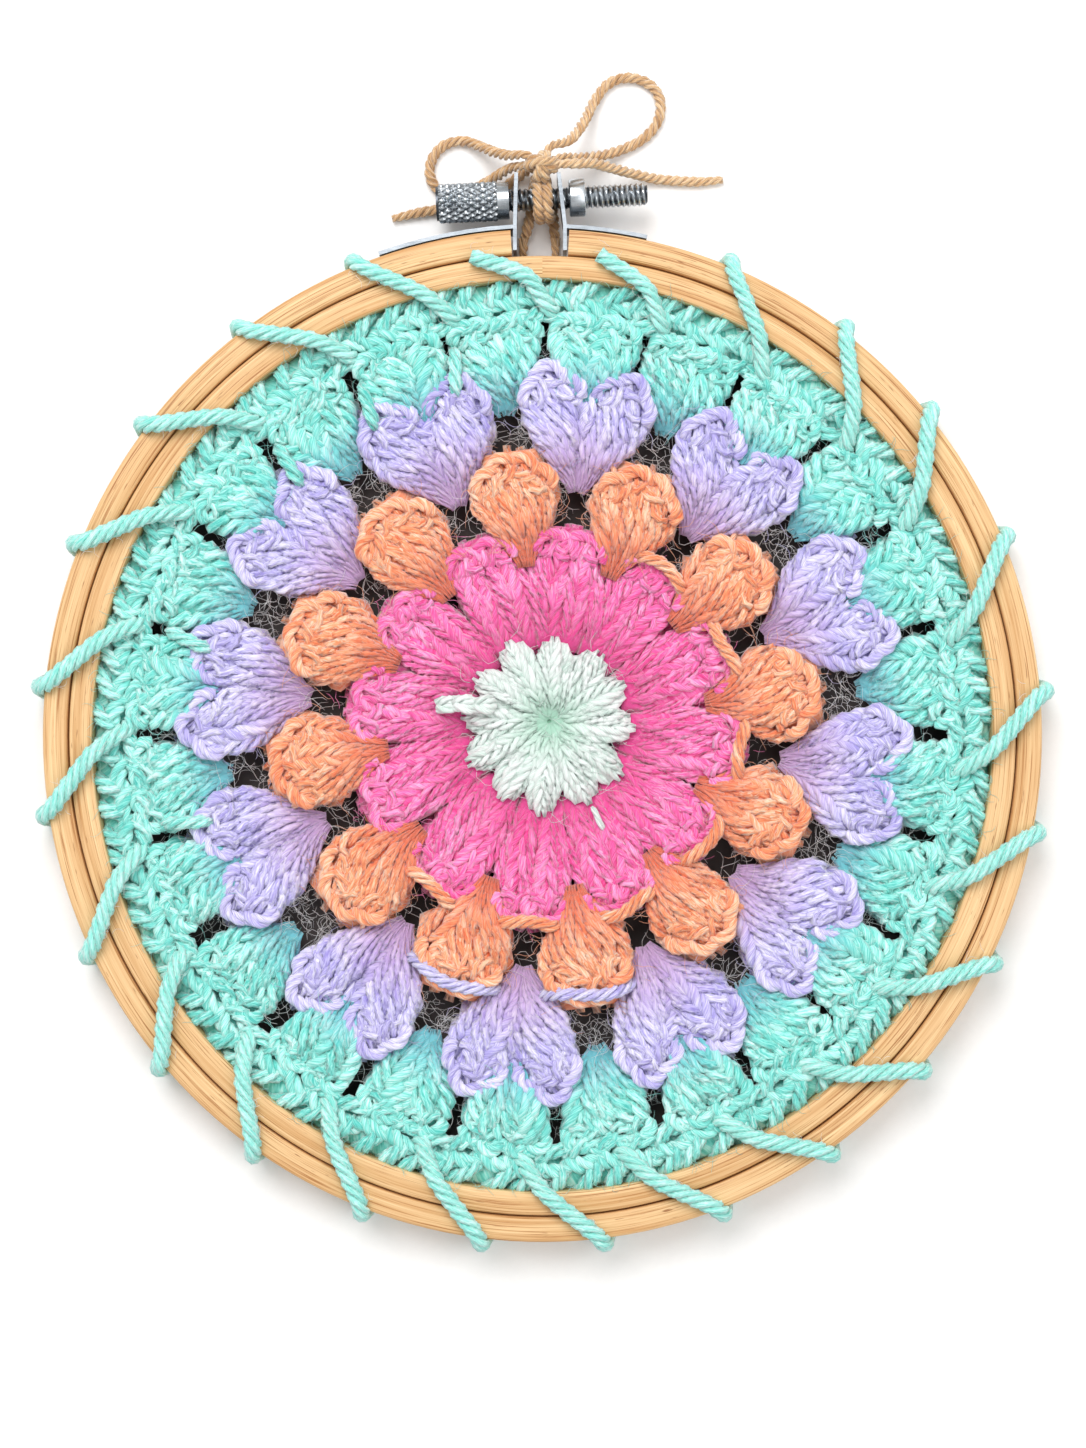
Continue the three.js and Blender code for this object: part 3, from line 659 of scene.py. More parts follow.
# %% A cluster of strands
class Cluster:
    """A domed group of strands between a root and a tip.

    narrow and end are shares of its width at the root and the tip, and crown is how far up it is
    widest.
    """

    def __init__(self, root, tip, width, high, narrow, crown, end):
        self.root, self.tip = np.array(root, float), np.array(tip, float)
        self.along = self.tip - self.root
        self.length = np.linalg.norm(self.along)
        ahead = self.along / self.length
        self.across = np.array((ahead[1], -ahead[0], 0))
        self.width, self.high, self.narrow, self.crown, self.end = width, high, narrow, crown, end

    def half(self, a):
        """Half the cluster's width at a share of its length."""
        opening = self.narrow + (1 - self.narrow) * smooth(a / self.crown) ** 0.8
        past = np.maximum(0, (a - self.crown) / (1.08 - self.crown))
        closing = np.sqrt(np.maximum(0, 1 - past**2))
        return self.width / 2 * opening * (self.end + (1 - self.end) * closing)

    def at(self, a, q, side=1, sink=0.0):
        """A point at share a of the length and share q of the width, on the front or the back."""
        a, q = np.asarray(a, float), np.asarray(q, float)
        dome = np.sqrt(np.maximum(0, 1 - 0.92 * q * q))
        # The dome climbs from the root, and sinks again a little at the tip.
        lift = 0.30 + 0.70 * smooth(a / 0.42) - 0.34 * smooth((a - 0.7) / 0.3)
        spots = self.root + np.multiply.outer(a, self.along)
        spots = spots + np.multiply.outer(q * self.half(a), self.across)
        spots[..., 2] += side * (self.high * dome * lift - sink)
        return spots

    def core(self, yarn, fill):
        """A plain body inside, which fills a share of the width."""
        a = np.linspace(0.05, 0.93, 7)
        line = settle(self.at(a, 0 * a))
        high = np.maximum(0.3, line[:, 2] - MIDDLE - 0.8)
        line[:, 2] = MIDDLE
        across, over = frames(line)
        # Its shade of 0.3 makes it deeper than most plies: painted shade where it shows between the
        # strands.
        yarn.tube(line, across, over, self.half(a) * fill, high, 8, tint=a, shade=0.3)

    def strands(self, yarn, count, plies=3, side=1, sides=5, pitch=9.0, round_end=0.16, step=1.2,
                stop=1.0, hands=(1,), thick=1.36):
        """Strands side by side. The outer ones stop sooner, and about one in eight is twisted
        the other way."""
        for k in range(count):
            q = (2 * k + 1) / count - 1
            last = stop - round_end * q * q
            a = np.linspace(0, last, 14)
            wander = 0.45 / count * np.sin(a * 5 + RANDOM.uniform(0, 6))
            line = even(settle(self.at(a, (q + wander) * 0.9, side, 1.0)), step)
            share = np.linspace(0, last, len(line))
            wide = np.maximum(0.95, 2 * self.half(share) / count * thick)
            wide = wide * RANDOM.uniform(0.92, 1.1)
            way = hands[k % len(hands)] * (-1 if RANDOM.uniform() < 0.12 else 1)
            yarn.strand(line, wide, plies, pitch * RANDOM.uniform(0.85, 1.15), way, sides, share)

    def loose_plies(self, yarn, count, long, thick):
        """Single plies that have worked up between the others. Each lies askew on the dome."""
        for _ in range(count):
            a, q = RANDOM.uniform(0.15, 0.9 - long / self.length), RANDOM.uniform(-0.8, 0.8)
            reach = long * RANDOM.uniform(0.7, 1.2) / self.length
            drift = -0.3 * RANDOM.uniform(0.4, 1.6)
            share = np.linspace(0, 1, 5)
            bow = 0.06 * np.sin(share * math.pi) * RANDOM.uniform(-1, 1)
            where = np.clip(q * (1 - 0.3 * a) + drift * share + bow, -0.95, 0.95)
            tint = a + reach * share
            line = settle(self.at(tint, where, 1, 0.25))
            line[:, 2] -= 0.8 * (2 * share - 1) ** 2
            across, over = frames(line)
            size = thick / 2 * (0.3 + 0.7 * np.sin(share * math.pi) ** 0.6)
            shade = RANDOM.uniform(0.3, 1)
            yarn.tube(line, across, over, size, size * 0.9, 5, tint=tint, shade=shade)

    def hairs(self, yarn, count):
        """Fine hairs that stand out from the cluster's sides and top."""
        for _ in range(count):
            a = RANDOM.uniform(0.15, 1.02)
            q = RANDOM.choice((-1, 1)) * RANDOM.uniform(0.1, 1) ** 0.5
            start = settle(self.at(a, q, 1, -0.35 * (1 - q * q)))[0]
            out = np.arctan2(self.across[1] * q, self.across[0] * q) + RANDOM.normal(0, 0.8)
            hair(yarn, start, out, RANDOM.uniform(1.8, 4.6), RANDOM.normal(0, 0.4))

    def work(self, yarn, front, loose, hairs, back, fill=0.86):
        """The whole cluster. front and loose are the settings of its strands and loose plies."""
        self.core(yarn, fill)
        self.strands(yarn, **front)
        self.loose_plies(yarn, **loose)
        self.hairs(yarn, hairs)
        self.strands(yarn, back, plies=2, side=-1, sides=4, step=1.6)

    def close(self, yarn, place, droop, reach, points, pitch, wide, thick, sink=0.5):
        """Chain stitches in an arc across the top of the cluster."""
        ends = np.linspace(-1, 1, points)
        knots = settle(self.at(place - droop * ends**2, ends * reach, 1, sink))
        chain_row(yarn, knots, pitch, wide, thick)


print("a cluster is a core, strands, loose plies, hairs and a chain across its top")

# %% [markdown]
# Twelve sectors make the flower. Each has one heart of two lilac lobes and one orange puff. Their
# clock angles are those in the photograph, where the flower is a little uneven. The last two
# words of a sector say where the chain after its puff and the one after its heart lie: in front
# of the cluster between, or behind it.

# %% The sectors
SECTORS = [
    (7.5, 22.5, "front", "back"), (36.5, 51.5, "front", "back"), (67.0, 81.5, "front", "back"),
    (97.5, 111.0, "front", "back"), (127.0, 140.5, "front", "back"),
    (155.5, 170.0, "front", "front"), (185.5, 200.5, "front", "front"),
    (216.0, 231.0, "back", "back"), (247.5, 262.0, "back", "back"), (277.5, 292.5, "back", "back"),
    (308.0, 322.5, "back", "back"), (338.5, 352.5, "back", "back"),
]
HEARTS, PUFFS, PUFF_CHAINS, HEART_CHAINS = zip(*SECTORS)


def after(clocks, k):
    """How many degrees on the next cluster of a round lies."""
    return (clocks[(k + 1) % len(clocks)] - clocks[k]) % 360


# The mint shells: one outside each heart, and one halfway to the next heart.
SHELLS = []
for k, clock in enumerate(HEARTS):
    SHELLS += [clock, clock + after(HEARTS, k) / 2]
print(len(SECTORS), "sectors and", len(SHELLS), "outer shells")

# %% [markdown]
# The middle is a pale round of twelve narrow clusters that end in points, worked into one ring.
# It turns from mint at the middle to off-white at the tips, as a variegated yarn does. A short
# chain from where the round was joined lies over the pink, and so does the cut end.

# %% Pale centre
CENTRE_FORM = {"width": 6.3, "high": 3.3, "narrow": 0.12, "crown": 0.5, "end": 0.26}
CENTRE_FRONT = {"count": 4, "pitch": 6.4, "round_end": 0.14, "hands": (1, 1, -1, -1)}
CENTRE_LOOSE = {"count": 6, "long": 3.4, "thick": 0.9}
JOINING = [(-7.6, 5.2, 10.0), (-10.5, 4.9, 11.0), (-13.5, 5.2, 11.2), (-16.6, 4.8, 10.6)]
CUT_END = [(7.9, -11.4, 9.6), (8.9, -13.2, 10.3), (9.8, -15.2, 9.6)]
centre = Yarn()
for k in range(12):
    clock = 5 + 30 * k + RANDOM.uniform(-3, 3)
    tip = 14.4 + RANDOM.uniform(-0.5, 0.7)
    petal = Cluster(spot(-0.4, clock, 6.6), spot(tip, clock, 7.4), **CENTRE_FORM)
    petal.work(centre, CENTRE_FRONT, CENTRE_LOOSE, hairs=12, back=3, fill=0.8)
chain_row(centre, curve(JOINING, 0.3), 3.2, 0.7, 1.9)
centre.strand(curve(CUT_END, 0.7), 1.1)
print("pale centre,", centre.count, "points")

# %% [markdown]
# The pink round has two columns of posts for each petal. In a column, strands that are twisted
# opposite ways lie side by side, so it looks like a braid. The points reach out towards the
# hearts, and the roots of the puffs lie over the notches. A few chain stitches cross each column
# near its tip.

# %% Pink petals
COLUMN_FORM = {"width": 8.4, "high": 3.3, "narrow": 0.4, "crown": 0.54, "end": 0.36}
COLUMN_FRONT = {
    "count": 4, "pitch": 7.8, "round_end": 0.1, "stop": 0.93, "thick": 1.2, "hands": (1, 1, -1, 1),
}
COLUMN_LOOSE = {"count": 12, "long": 4.4, "thick": 1.1}
COLUMN_TOP = {
    "place": 0.84, "droop": 0.12, "reach": 0.62, "points": 7, "pitch": 3.4, "wide": 1.4, "thick": 2.1,
}
petals = Yarn()
for k, heart in enumerate(HEARTS):
    gap = {-1: (heart - PUFFS[k - 1]) % 360, 1: (PUFFS[k] - heart) % 360}
    for way in (-1, 1):
        inner = heart + way * gap[way] * 0.5
        outer = heart + way * gap[way] * 0.3
        column = Cluster(spot(10.8, inner, 6.6), spot(33.8, outer, 6.8), **COLUMN_FORM)
        column.work(petals, COLUMN_FRONT, COLUMN_LOOSE, hairs=16, back=2, fill=0.9)
        column.close(petals, **COLUMN_TOP)
print("pink petals,", petals.count, "points")

# %% [markdown]
# The puffs are the fattest clusters. Seven strands sweep from a root between the pink petals over
# a high dome, and a few chain stitches run across the top. They differ a little in size.

# %% Orange puffs
PUFF_FORM = {"high": 4.1, "narrow": 0.2, "crown": 0.56, "end": 0.6}
PUFF_FRONT = {"count": 7, "pitch": 8.2, "round_end": 0.18, "stop": 0.9, "thick": 1.3}
PUFF_LOOSE = {"count": 26, "long": 4.6, "thick": 1.2}
PUFF_TOP = {
    "place": 0.82, "droop": 0.22, "reach": 0.72, "points": 9, "pitch": 3.7, "wide": 1.7, "thick": 2.3,
}
puffs = Yarn()
for clock in PUFFS:
    width = 15.6 * RANDOM.uniform(0.96, 1.05)
    puff = Cluster(spot(25.6, clock, 9.3), spot(46.0, clock, 7.2), width, **PUFF_FORM)
    puff.work(puffs, PUFF_FRONT, PUFF_LOOSE, hairs=44, back=5)
    puff.close(puffs, **PUFF_TOP)
print("orange puffs,", puffs.count, "points")

# %% [markdown]
# Between two puffs runs a short stretch of chain. On the right and below it lies in front of the
# pink points, and on the left it has slipped behind them. It looks like one twisted strand, so
# it is built as one, whose ends go into the clusters. The hearts are linked in the same way.

# %% Chains between clusters
CHAIN_THICK = 2.3
CHAIN_BEHIND = 3.6
# The share of the way that a chain shows: it starts and ends inside the clusters.
CHAIN_FROM, CHAIN_TO = 0.12, 0.88


def linked(yarn, radius, clocks, places, front):
    """Chains from each cluster of a round to the next. front is their height in front."""
    for k, (clock, place) in enumerate(zip(clocks, places)):
        level = front if place == "front" else CHAIN_BEHIND
        share = np.linspace(CHAIN_FROM, CHAIN_TO, 9)
        to_end = np.minimum(share - CHAIN_FROM, CHAIN_TO - share)
        z = MIDDLE + (level - MIDDLE) * smooth(to_end / 0.16)
        sway = radius + 0.5 * np.sin(share * 9 + clock)
        line = curve(settle(spot(sway, clock + after(clocks, k) * share, z)), 0.7)
        yarn.strand(line, CHAIN_THICK, plies=4, pitch=7.5)


linked(puffs, 31.4, PUFFS, PUFF_CHAINS, 11.4)
print(PUFF_CHAINS.count("front"), "of the chains between puffs lie in front")

# %% [markdown]
# A heart is two clusters that share a root. Its lobes lean apart, and the notch between them
# takes the root of an outer shell.

# %% Lilac hearts
LOBE_FORM = {"width": 11.8, "high": 3.7, "narrow": 0.16, "crown": 0.55, "end": 0.5}
LOBE_FRONT = {"count": 5, "pitch": 8.0, "round_end": 0.14, "stop": 0.9}
LOBE_LOOSE = {"count": 17, "long": 4.6, "thick": 1.25}
LOBE_TOP = {
    "place": 0.84, "droop": 0.2, "reach": 0.66, "points": 9, "pitch": 3.7, "wide": 1.7, "thick": 2.3,
}
hearts = Yarn()
for clock in HEARTS:
    for way in (-1, 1):
        root = spot(38.0, clock + way * 0.7, 7.6)
        lobe = Cluster(root, spot(60.0, clock + way * 7.7, 7.2), **LOBE_FORM)
        lobe.work(hearts, LOBE_FRONT, LOBE_LOOSE, hairs=24, back=4)
        lobe.close(hearts, **LOBE_TOP)
linked(hearts, 42.4, HEARTS, HEART_CHAINS, 12.2)
print("lilac hearts,", hearts.count, "points")

# %% [markdown]
# The outer round has twenty-four open shells: two groups of posts in a V, with a little hole
# between them at the top. Every other shell is worked into the notch of a heart, so its root
# starts further out and lies on top of the lobes. On the left, five mint strands run down over
# the tops of the hearts.

# %% Mint shells
GROUP_FORM = {"width": 8.4, "high": 3.1, "narrow": 0.24, "crown": 0.62, "end": 0.85}
GROUP_FRONT = {"count": 3, "pitch": 7.8, "round_end": 0.1, "stop": 0.95}
GROUP_LOOSE = {"count": 9, "long": 4.4, "thick": 1.2}
GROUP_TOP = {
    "place": 0.9, "droop": 0.1, "reach": 0.7, "points": 5, "pitch": 3.7, "wide": 1.4, "thick": 2.4,
    "sink": 0.4,
}
# Radius and height of the roots, for a shell on a heart and for one between two hearts.
ROOTS = ((52.6, 9.8), (50.6, 6.9))
STRAY_CLOCKS = (255.6, 284.0, 315.6, 331.0, 345.6)
# Radius, degrees aside and height of each point of a stray strand.
STRAY_ROUTE = [(62.5, 1.2, 10.2), (60.0, 0.7, 11.4), (57.4, 0.2, 11.9), (54.8, -0.4, 11.0)]
shells = Yarn()
for k, clock in enumerate(SHELLS):
    start, level = ROOTS[k % 2]
    for way in (-1, 1):
        root = spot(start, clock + way * 0.5, level)
        group = Cluster(root, spot(66.4, clock + way * 3.6, 7.4), **GROUP_FORM)
        group.work(shells, GROUP_FRONT, GROUP_LOOSE, hairs=11, back=3)
        group.close(shells, **GROUP_TOP)
for clock in STRAY_CLOCKS:
    line = [spot(radius, clock + aside, z) for radius, aside, z in STRAY_ROUTE]
    shells.strand(curve(settle(line), 0.8), 2.5, pitch=7.5)
print("mint shells,", shells.count, "points")

# %% [markdown]
# A row of chains joins the shells, and a crowd of short loops fills the rest of the rim up to the
# hoop. A plain ring inside them keeps the rim closed. Each loop leans a little more or less than
# the last, so that the rim looks worked and not printed.

# %% Mint edging
RIM = 69.2
LOOPS = 96
# Radius, share of the loop's lean and height of each point of a loop.
LOOP_ROUTE = [
    (67.4, 0, 9.2), (69.2, 0.4, 10.3), (70.9, 0.9, 10.0), (71.9, 1.3, 8.2), (71.2, 1.5, 5.8),
]
edging = Yarn()
turn = np.linspace(0, 360, LOOPS + 1)
rim = settle(spot(RIM, turn, 6.6))
across, over = frames(rim)
# Its shade of 0.4 makes it a little deeper than most loops: painted shade where it shows between
# them.
edging.tube(rim, across, over, 3.1, 2.6, 8, shade=0.4)
wave = 67.0 + 0.7 * np.cos(np.radians(turn * 24))
chain_row(edging, settle(spot(wave, turn, 9.2)), 4.9, 1.7, 2.9)
for k in range(LOOPS):
    clock = 360 / LOOPS * k + RANDOM.uniform(-0.6, 0.6)
    lean = 2.4 + 0.8 * math.sin(math.radians(clock * 12)) + RANDOM.uniform(-0.5, 0.5)
    line = [spot(radius, clock + lean * more, z) for radius, more, z in LOOP_ROUTE]
    edging.strand(curve(settle(line), 0.9), RANDOM.uniform(2.6, 3.1), pitch=7.5)
    for _ in range(5):
        start = settle(spot(RANDOM.uniform(70.4, 71.8), clock + RANDOM.uniform(-2, 2), 11.65))[0]
        heading = math.radians(90 - clock) + RANDOM.normal(0, 1.0)
        hair(edging, start, heading, RANDOM.uniform(1.2, 2.8), RANDOM.normal(0, 0.5), 0.07)
print("mint edging,", edging.count, "points")

# %% [markdown]
# Each yarn has its own finish of four colours: the fibres that catch the light, the body of the
# yarn, its deep side, and what shows at the root of a cluster, where the round before glows
# through. They were set until the render looked as the photograph does. The lashing is a lighter
# mint than the flower's edge.

# %% Yarn colours
YARNS = {
    "pale_yarn": ((248, 251, 250), (226, 236, 231), (186, 212, 200), (162, 214, 188)),
    "pink_yarn": ((255, 190, 224), (253, 118, 186), (214, 46, 122), (228, 66, 140)),
    "orange_yarn": ((255, 226, 200), (252, 168, 122), (218, 98, 58), (230, 104, 76)),
    "lilac_yarn": ((246, 243, 254), (202, 195, 242), (146, 134, 206), (202, 160, 208)),
    "mint_yarn": ((226, 254, 249), (146, 231, 220), (66, 184, 174), (110, 194, 210)),
    "lashing_mint": ((230, 254, 250), (172, 238, 227), (112, 210, 198), (172, 238, 227)),
    "pale_fuzz": ((252, 250, 248), (238, 235, 232), (222, 219, 216), (230, 228, 226)),
}
YARN_FINISH = {name: yarn_finish(name, *colours) for name, colours in YARNS.items()}
BUILDS = [
    (centre, "yarn_centre", "pale_yarn", "crochet_centre"),
    (petals, "yarn_petals", "pink_yarn", "crochet_petals"),
    (puffs, "yarn_puffs", "orange_yarn", "crochet_puffs"),
    (hearts, "yarn_hearts", "lilac_yarn", "crochet_hearts"),
    (shells, "yarn_shells", "mint_yarn", "crochet_edging"),
    (edging, "yarn_edging", "mint_yarn", "crochet_edging"),
]
for yarn, name, slot, node in BUILDS:
    finished(yarn.build(name), slot, YARN_FINISH[slot], node)

# %% [markdown]
# The lashing is one long length of mint yarn. It crosses the rings on the front, goes down through
# the edge, passes flat between the rings and what the hoop lies on, and comes up outside the next
# place. It is four plies, swept along the route of its solid. What is squeezed is flattened
# after the sweep, as soft yarn would be.

# %% Lashing
YARN, LEAN = 2.5, 9.0
# Clock angles of the first wrap, the last, and all between.
FIRST, LAST = 6.8, 351.4
WRAPS = [
    22, 37, 50.5, 67, 85, 101, 116.5, 131, 145, 159, 173, 187, 201, 215, 229.5, 244.5, 261, 275.5,
    292, 307.5, 323, 338,
]
LYING = RING_FRONT + CLEAR + YARN / 2
UNDER = (RING_BACK - CLEAR) / 2


def hoop_spot(radius, clock, z):
    """A point on the oval hoop."""
    angle = math.radians(clock)
    return (radius * math.sin(angle), (radius + OVAL) * math.cos(angle), z)


def front_stretch(clock):
    """Over the front of the rings and down through the edge."""
    return [
        hoop_spot(OUTSIDE - 1.2, clock + 0.1 * LEAN, LYING - 0.1),
        hoop_spot(INSIDE + 0.5, clock + 0.68 * LEAN, LYING),
        hoop_spot(RIM + 0.4, clock + 0.9 * LEAN, LYING - 0.9),
        hoop_spot(RIM - 1.9, clock + 1.05 * LEAN, LYING - 1.9),
        hoop_spot(RIM - 2.8, clock + 1.14 * LEAN, MIDDLE + 1.0),
        hoop_spot(RIM - 1.4, clock + 1.1 * LEAN, MIDDLE - 3.2),
        hoop_spot(INSIDE - 1.9, clock + LEAN + 0.5, UNDER),
    ]


def back_stretch(from_clock, to_clock, to_radius):
    """Under the rings to the next place."""
    turn = to_clock - from_clock
    return [
        hoop_spot(INSIDE + 1.4, from_clock + 0.25 * turn, UNDER),
        hoop_spot(to_radius, from_clock + 0.85 * turn, UNDER),
    ]


def round_outside(clock):
    """Up the outside of the hoop."""
    away = OUTSIDE + CLEAR + YARN / 4
    return [
        hoop_spot(away, clock - 0.5, RING_BACK / 2),
        hoop_spot(away, clock - 0.2, RING_MIDDLE),
        hoop_spot(away, clock, RING_FRONT - 1.2),
    ]


def pinched(points):
    """Flattens yarn on the floor, under the rings, and where it lies against the outer ring."""
    radius = np.hypot(points[:, 0], points[:, 1] * (1 - OVAL / OUTSIDE))
    squeezed = (radius > EDGE) & (radius < OUTSIDE + CLEAR) & (points[:, 2] < RING_MIDDLE / 2)
    points[:, 2] = np.where(squeezed, np.minimum(points[:, 2], RING_BACK - 0.1), points[:, 2])
    points[:, 2] = np.maximum(points[:, 2], FLOOR)
    beside = (radius > OUTSIDE - 1.0) & (points[:, 2] > 1.0) & (points[:, 2] < RING_FRONT)
    pull = np.where(beside, np.clip(OUTSIDE + 0.1 - radius, 0, 2), 0) / np.maximum(radius, 1)
    points[:, :2] *= (1 + pull)[:, None]
    return points


route = [hoop_spot(SEAM + 0.4, FIRST, LYING), *front_stretch(FIRST)[1:]]
behind = FIRST + LEAN
for clock in WRAPS:
    route += back_stretch(behind, clock, OUTSIDE - 1.4) + round_outside(clock)
    route += front_stretch(clock)
    behind = clock + LEAN
route += back_stretch(behind, LAST, SEAM - 1.6) + [hoop_spot(SEAM + 0.2, LAST, UNDER)]
first_wrap = [hoop_spot(SEAM + 0.4, LAST, LYING), *front_stretch(LAST)[1:]]
first_wrap += back_stretch(LAST + LEAN, 360 + FIRST, SEAM - 1.6)
first_wrap += [hoop_spot(SEAM + 0.2, FIRST, UNDER)]
lashing = Yarn()
for points in (route, first_wrap):
    line = curve(points, 0.8)
    lashing.strand(line, YARN * 1.16, plies=4, pitch=8.0, sides=6, level=False, pointed=0.9)
lashing = lashing.build("yarn_lashing", pinched)
finished(lashing, "mint_yarn", YARN_FINISH["lashing_mint"], "lashing_yarn", "lashing_start")

# %% [markdown]
# The clamp's screw tilts a little. Its thread could be a Screw modifier on a small profile, but
# that leaves open ends. A closed cylinder, cut into fine rows, is simpler: each vertex is moved in
# or out by where it lies on the spiral. How deep it went is kept as an attribute for the finish.

# %% Screw
SCREW_Y, TILT = 86.4, math.radians(2.6)
SCREW_RADIUS, SCREW_LEFT, SCREW_RIGHT = 1.9, -13.5, 16.9
THREAD_PITCH, THREAD_DEEP = 0.85, 0.38


def on_screw(middle):
    """Where a piece that is centred on the screw's line goes, and how it is turned."""
    at = placed([[middle, SCREW_Y + middle * math.tan(TILT), RING_MIDDLE]])[0]
    return {"location": at, "rotation": (0, math.pi / 2, TILT)}


def rows_cut(cuts):
    """Cuts the long edges of the cylinder that is being edited into rows."""
    bpy.ops.object.mode_set(mode="EDIT")
    bpy.ops.mesh.select_mode(type="EDGE")
    bpy.ops.mesh.select_all(action="DESELECT")
    bpy.ops.object.mode_set(mode="OBJECT")
    mesh = bpy.context.object.data
    for edge in mesh.edges:
        a, b = (mesh.vertices[i].co for i in edge.vertices)
        edge.select = abs((a - b).z) > 1e-6
    bpy.ops.object.mode_set(mode="EDIT")
    bpy.ops.mesh.subdivide(number_cuts=cuts)
    bpy.ops.object.mode_set(mode="OBJECT")


def turned(name, radius, left, right, sides, cuts, radius_at):
    """A cylinder along the screw, whose radius is given at each height and angle."""
    deselected()
    bpy.ops.mesh.primitive_cylinder_add(
        vertices=sides, radius=radius * MM, depth=(right - left) * MM, **on_screw((left + right) / 2)
    )
    for number in cuts:
        rows_cut(number)
    mesh = bpy.context.object.data
    depth = mesh.attributes.new("depth", "FLOAT", "POINT")
    for vertex, deep in zip(mesh.vertices, depth.data):
        x, y, z = vertex.co
        far = radius_at(z / MM + (right - left) / 2, math.atan2(y, x))
        vertex.co.x, vertex.co.y = (v * far * MM / math.hypot(x, y) for v in (x, y))
        deep.value = radius - far
    return smoothed(settled(name), 28)


def ridge(x):
    """A sawtooth that rises and falls from 0 to 1 and back over each whole number."""
    return 1 - abs(2 * (x % 1) - 1)


def thread(height, angle):
    """The screw's radius. Its last turn tapers."""
    end = min(1, (SCREW_RIGHT - SCREW_LEFT - height) / 0.8)
    root = SCREW_RADIUS - THREAD_DEEP
    crest = THREAD_DEEP * ridge(height / THREAD_PITCH - angle / math.tau)
    return (root + crest) * (0.8 + 0.2 * end)


screw = turned("screw_thread", SCREW_RADIUS, SCREW_LEFT, SCREW_RIGHT, 24, (94, 1), thread)

# %% [markdown]
# The thumb nut is knurled: two sets of spiral grooves cross and leave small diamonds. A short
# band at each end is smooth. The plain collar on the other side is a short tube that is given a
# wall, because the screw goes through it.

# %% Nut and collar
GROOVES = 16
NUT_RADIUS, NUT_LEFT, NUT_RIGHT = 3.1, -17.1, -5.4
COLLAR_RADIUS, COLLAR_LONG, COLLAR_AT = 3.05, 2.6, 5.6


def knurl(height, angle):
    """The nut's radius."""
    if height < 0.35:
        return 2.75
    if height > 9.7:
        return 2.95
    spin = angle / math.tau * GROOVES
    cut = min(ridge(spin + height / 1.9), ridge(spin - height / 1.9))
    return 2.72 + 0.46 * min(1, cut * 1.5)


nut = turned("nut_knurled", NUT_RADIUS, NUT_LEFT, NUT_RIGHT, 120, (69,), knurl)
deselected()
bpy.ops.mesh.primitive_cylinder_add(
    vertices=48, radius=COLLAR_RADIUS * MM, depth=COLLAR_LONG * MM, end_fill_type="NOTHING",
    **on_screw(COLLAR_AT),
)
collar = bpy.context.object
wall = collar.modifiers.new("wall", "SOLIDIFY")
wall.thickness, wall.offset = 0.85 * MM, -1
ease = collar.modifiers.new("ease", "BEVEL")
ease.width, ease.segments, ease.limit_method = 0.28 * MM, 3, "ANGLE"
bpy.ops.object.modifier_apply(modifier="wall")
bpy.ops.object.modifier_apply(modifier="ease")
collar = smoothed(settled("clamp_sleeve"), 35)

# %% [markdown]
# The clamp is plated steel: bright, with fine rubbing marks and a slight dullness in patches.
# Painted shade darkens the bottoms of its grooves. The brackets are duller and darker than the screw.

# %% Steel finish
# The colour of the painted shade at the bottoms of the grooves.
GROOVE_SHADE = (72, 76, 82)


def steel_finish(name, bright, dull, rough):
    """Two tones of the metal, and its least roughness."""
    finish = Finish(name, Metallic=1.0)
    cloud = finish.noise(finish.places(), 320.0, 4.0, 0.6)
    rub = {"Vector": finish.places(), "Scale": (260, 2600, 2600)}
    scratch = finish.noise(finish.node("ShaderNodeMapping", None, rub), 1.0, 3.0, 0.7)
    worn = finish.spread(cloud * 0.6 + scratch * 0.4, 0.35, 0.65)
    metal = finish.mixed(worn, linear(*dull), linear(*bright))
    # Painted shade: the deeper a point of the thread or knurl lies, the darker its colour.
    groove = finish.spread(finish.attribute("depth"), 0.08, 0.36)
    finish.use(Base_Color=finish.mixed(groove, metal, linear(*GROOVE_SHADE)))
    finish.use(Roughness=rough + (cloud * 0.16 + scratch * 0.12))
    finish.bump(scratch, 0.12, 0.0001)
    return finish.material


STEEL = steel_finish("clamp_steel", (226, 231, 235), (176, 183, 189), 0.14)
STRAP = steel_finish("strap_steel", (158, 164, 170), (116, 122, 128), 0.24)
for piece, node in ((screw, "clamp_screw"), (nut, "knurled_nut"), (collar, "clamp_collar")):
    finished(piece, "clamp_steel", STEEL, node)
for node in ("clamp_bracket_left", "clamp_bracket_right"):
    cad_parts[node].data.materials.clear()
    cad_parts[node].data.materials.append(STRAP)
print(STEEL.name, "on the screw, nut and collar,", STRAP.name, "on the brackets")

# %% [markdown]
# The twine is passed twice round the screw between the ears, and its two legs go behind the inner
# ring. Its knot is a few tight turns over a plain lump, in front of the screw.

# %% Twine round the screw
TURNS = 2
STEPS = 22
# Half the stretch of the screw that the turns lie on.
HALF_WRAP = 1.45
# The two legs: where they run, and which way they lean.
LEFT_LEG, RIGHT_LEG = (-3.0, -1), (2.1, 1)


def leg(x, inward):
    """Twine from inside the hoop, under the inner ring, to the screw."""
    return [
        (-0.4 + 0.2 * inward, 75.4, UNDER), (x - 0.5 * inward, 75.9, UNDER), (x, 77.8, UNDER),
        (x, 80.0, RING_BACK - CLEAR),
    ]


def wrap_turns():
    """The turns round the screw, from its back over its front."""
    away = SCREW_RADIUS + CLEAR + TWINE / 2
    turns = []
    for i in range(STEPS + 1):
        share = i / STEPS
        turn = (0.5 - share * TURNS) * math.tau
        x = -HALF_WRAP + 2 * HALF_WRAP * share
        y = SCREW_Y + x * math.tan(TILT) + away * math.sin(turn)
        turns.append((x, y, RING_MIDDLE + away * math.cos(turn)))
    return turns


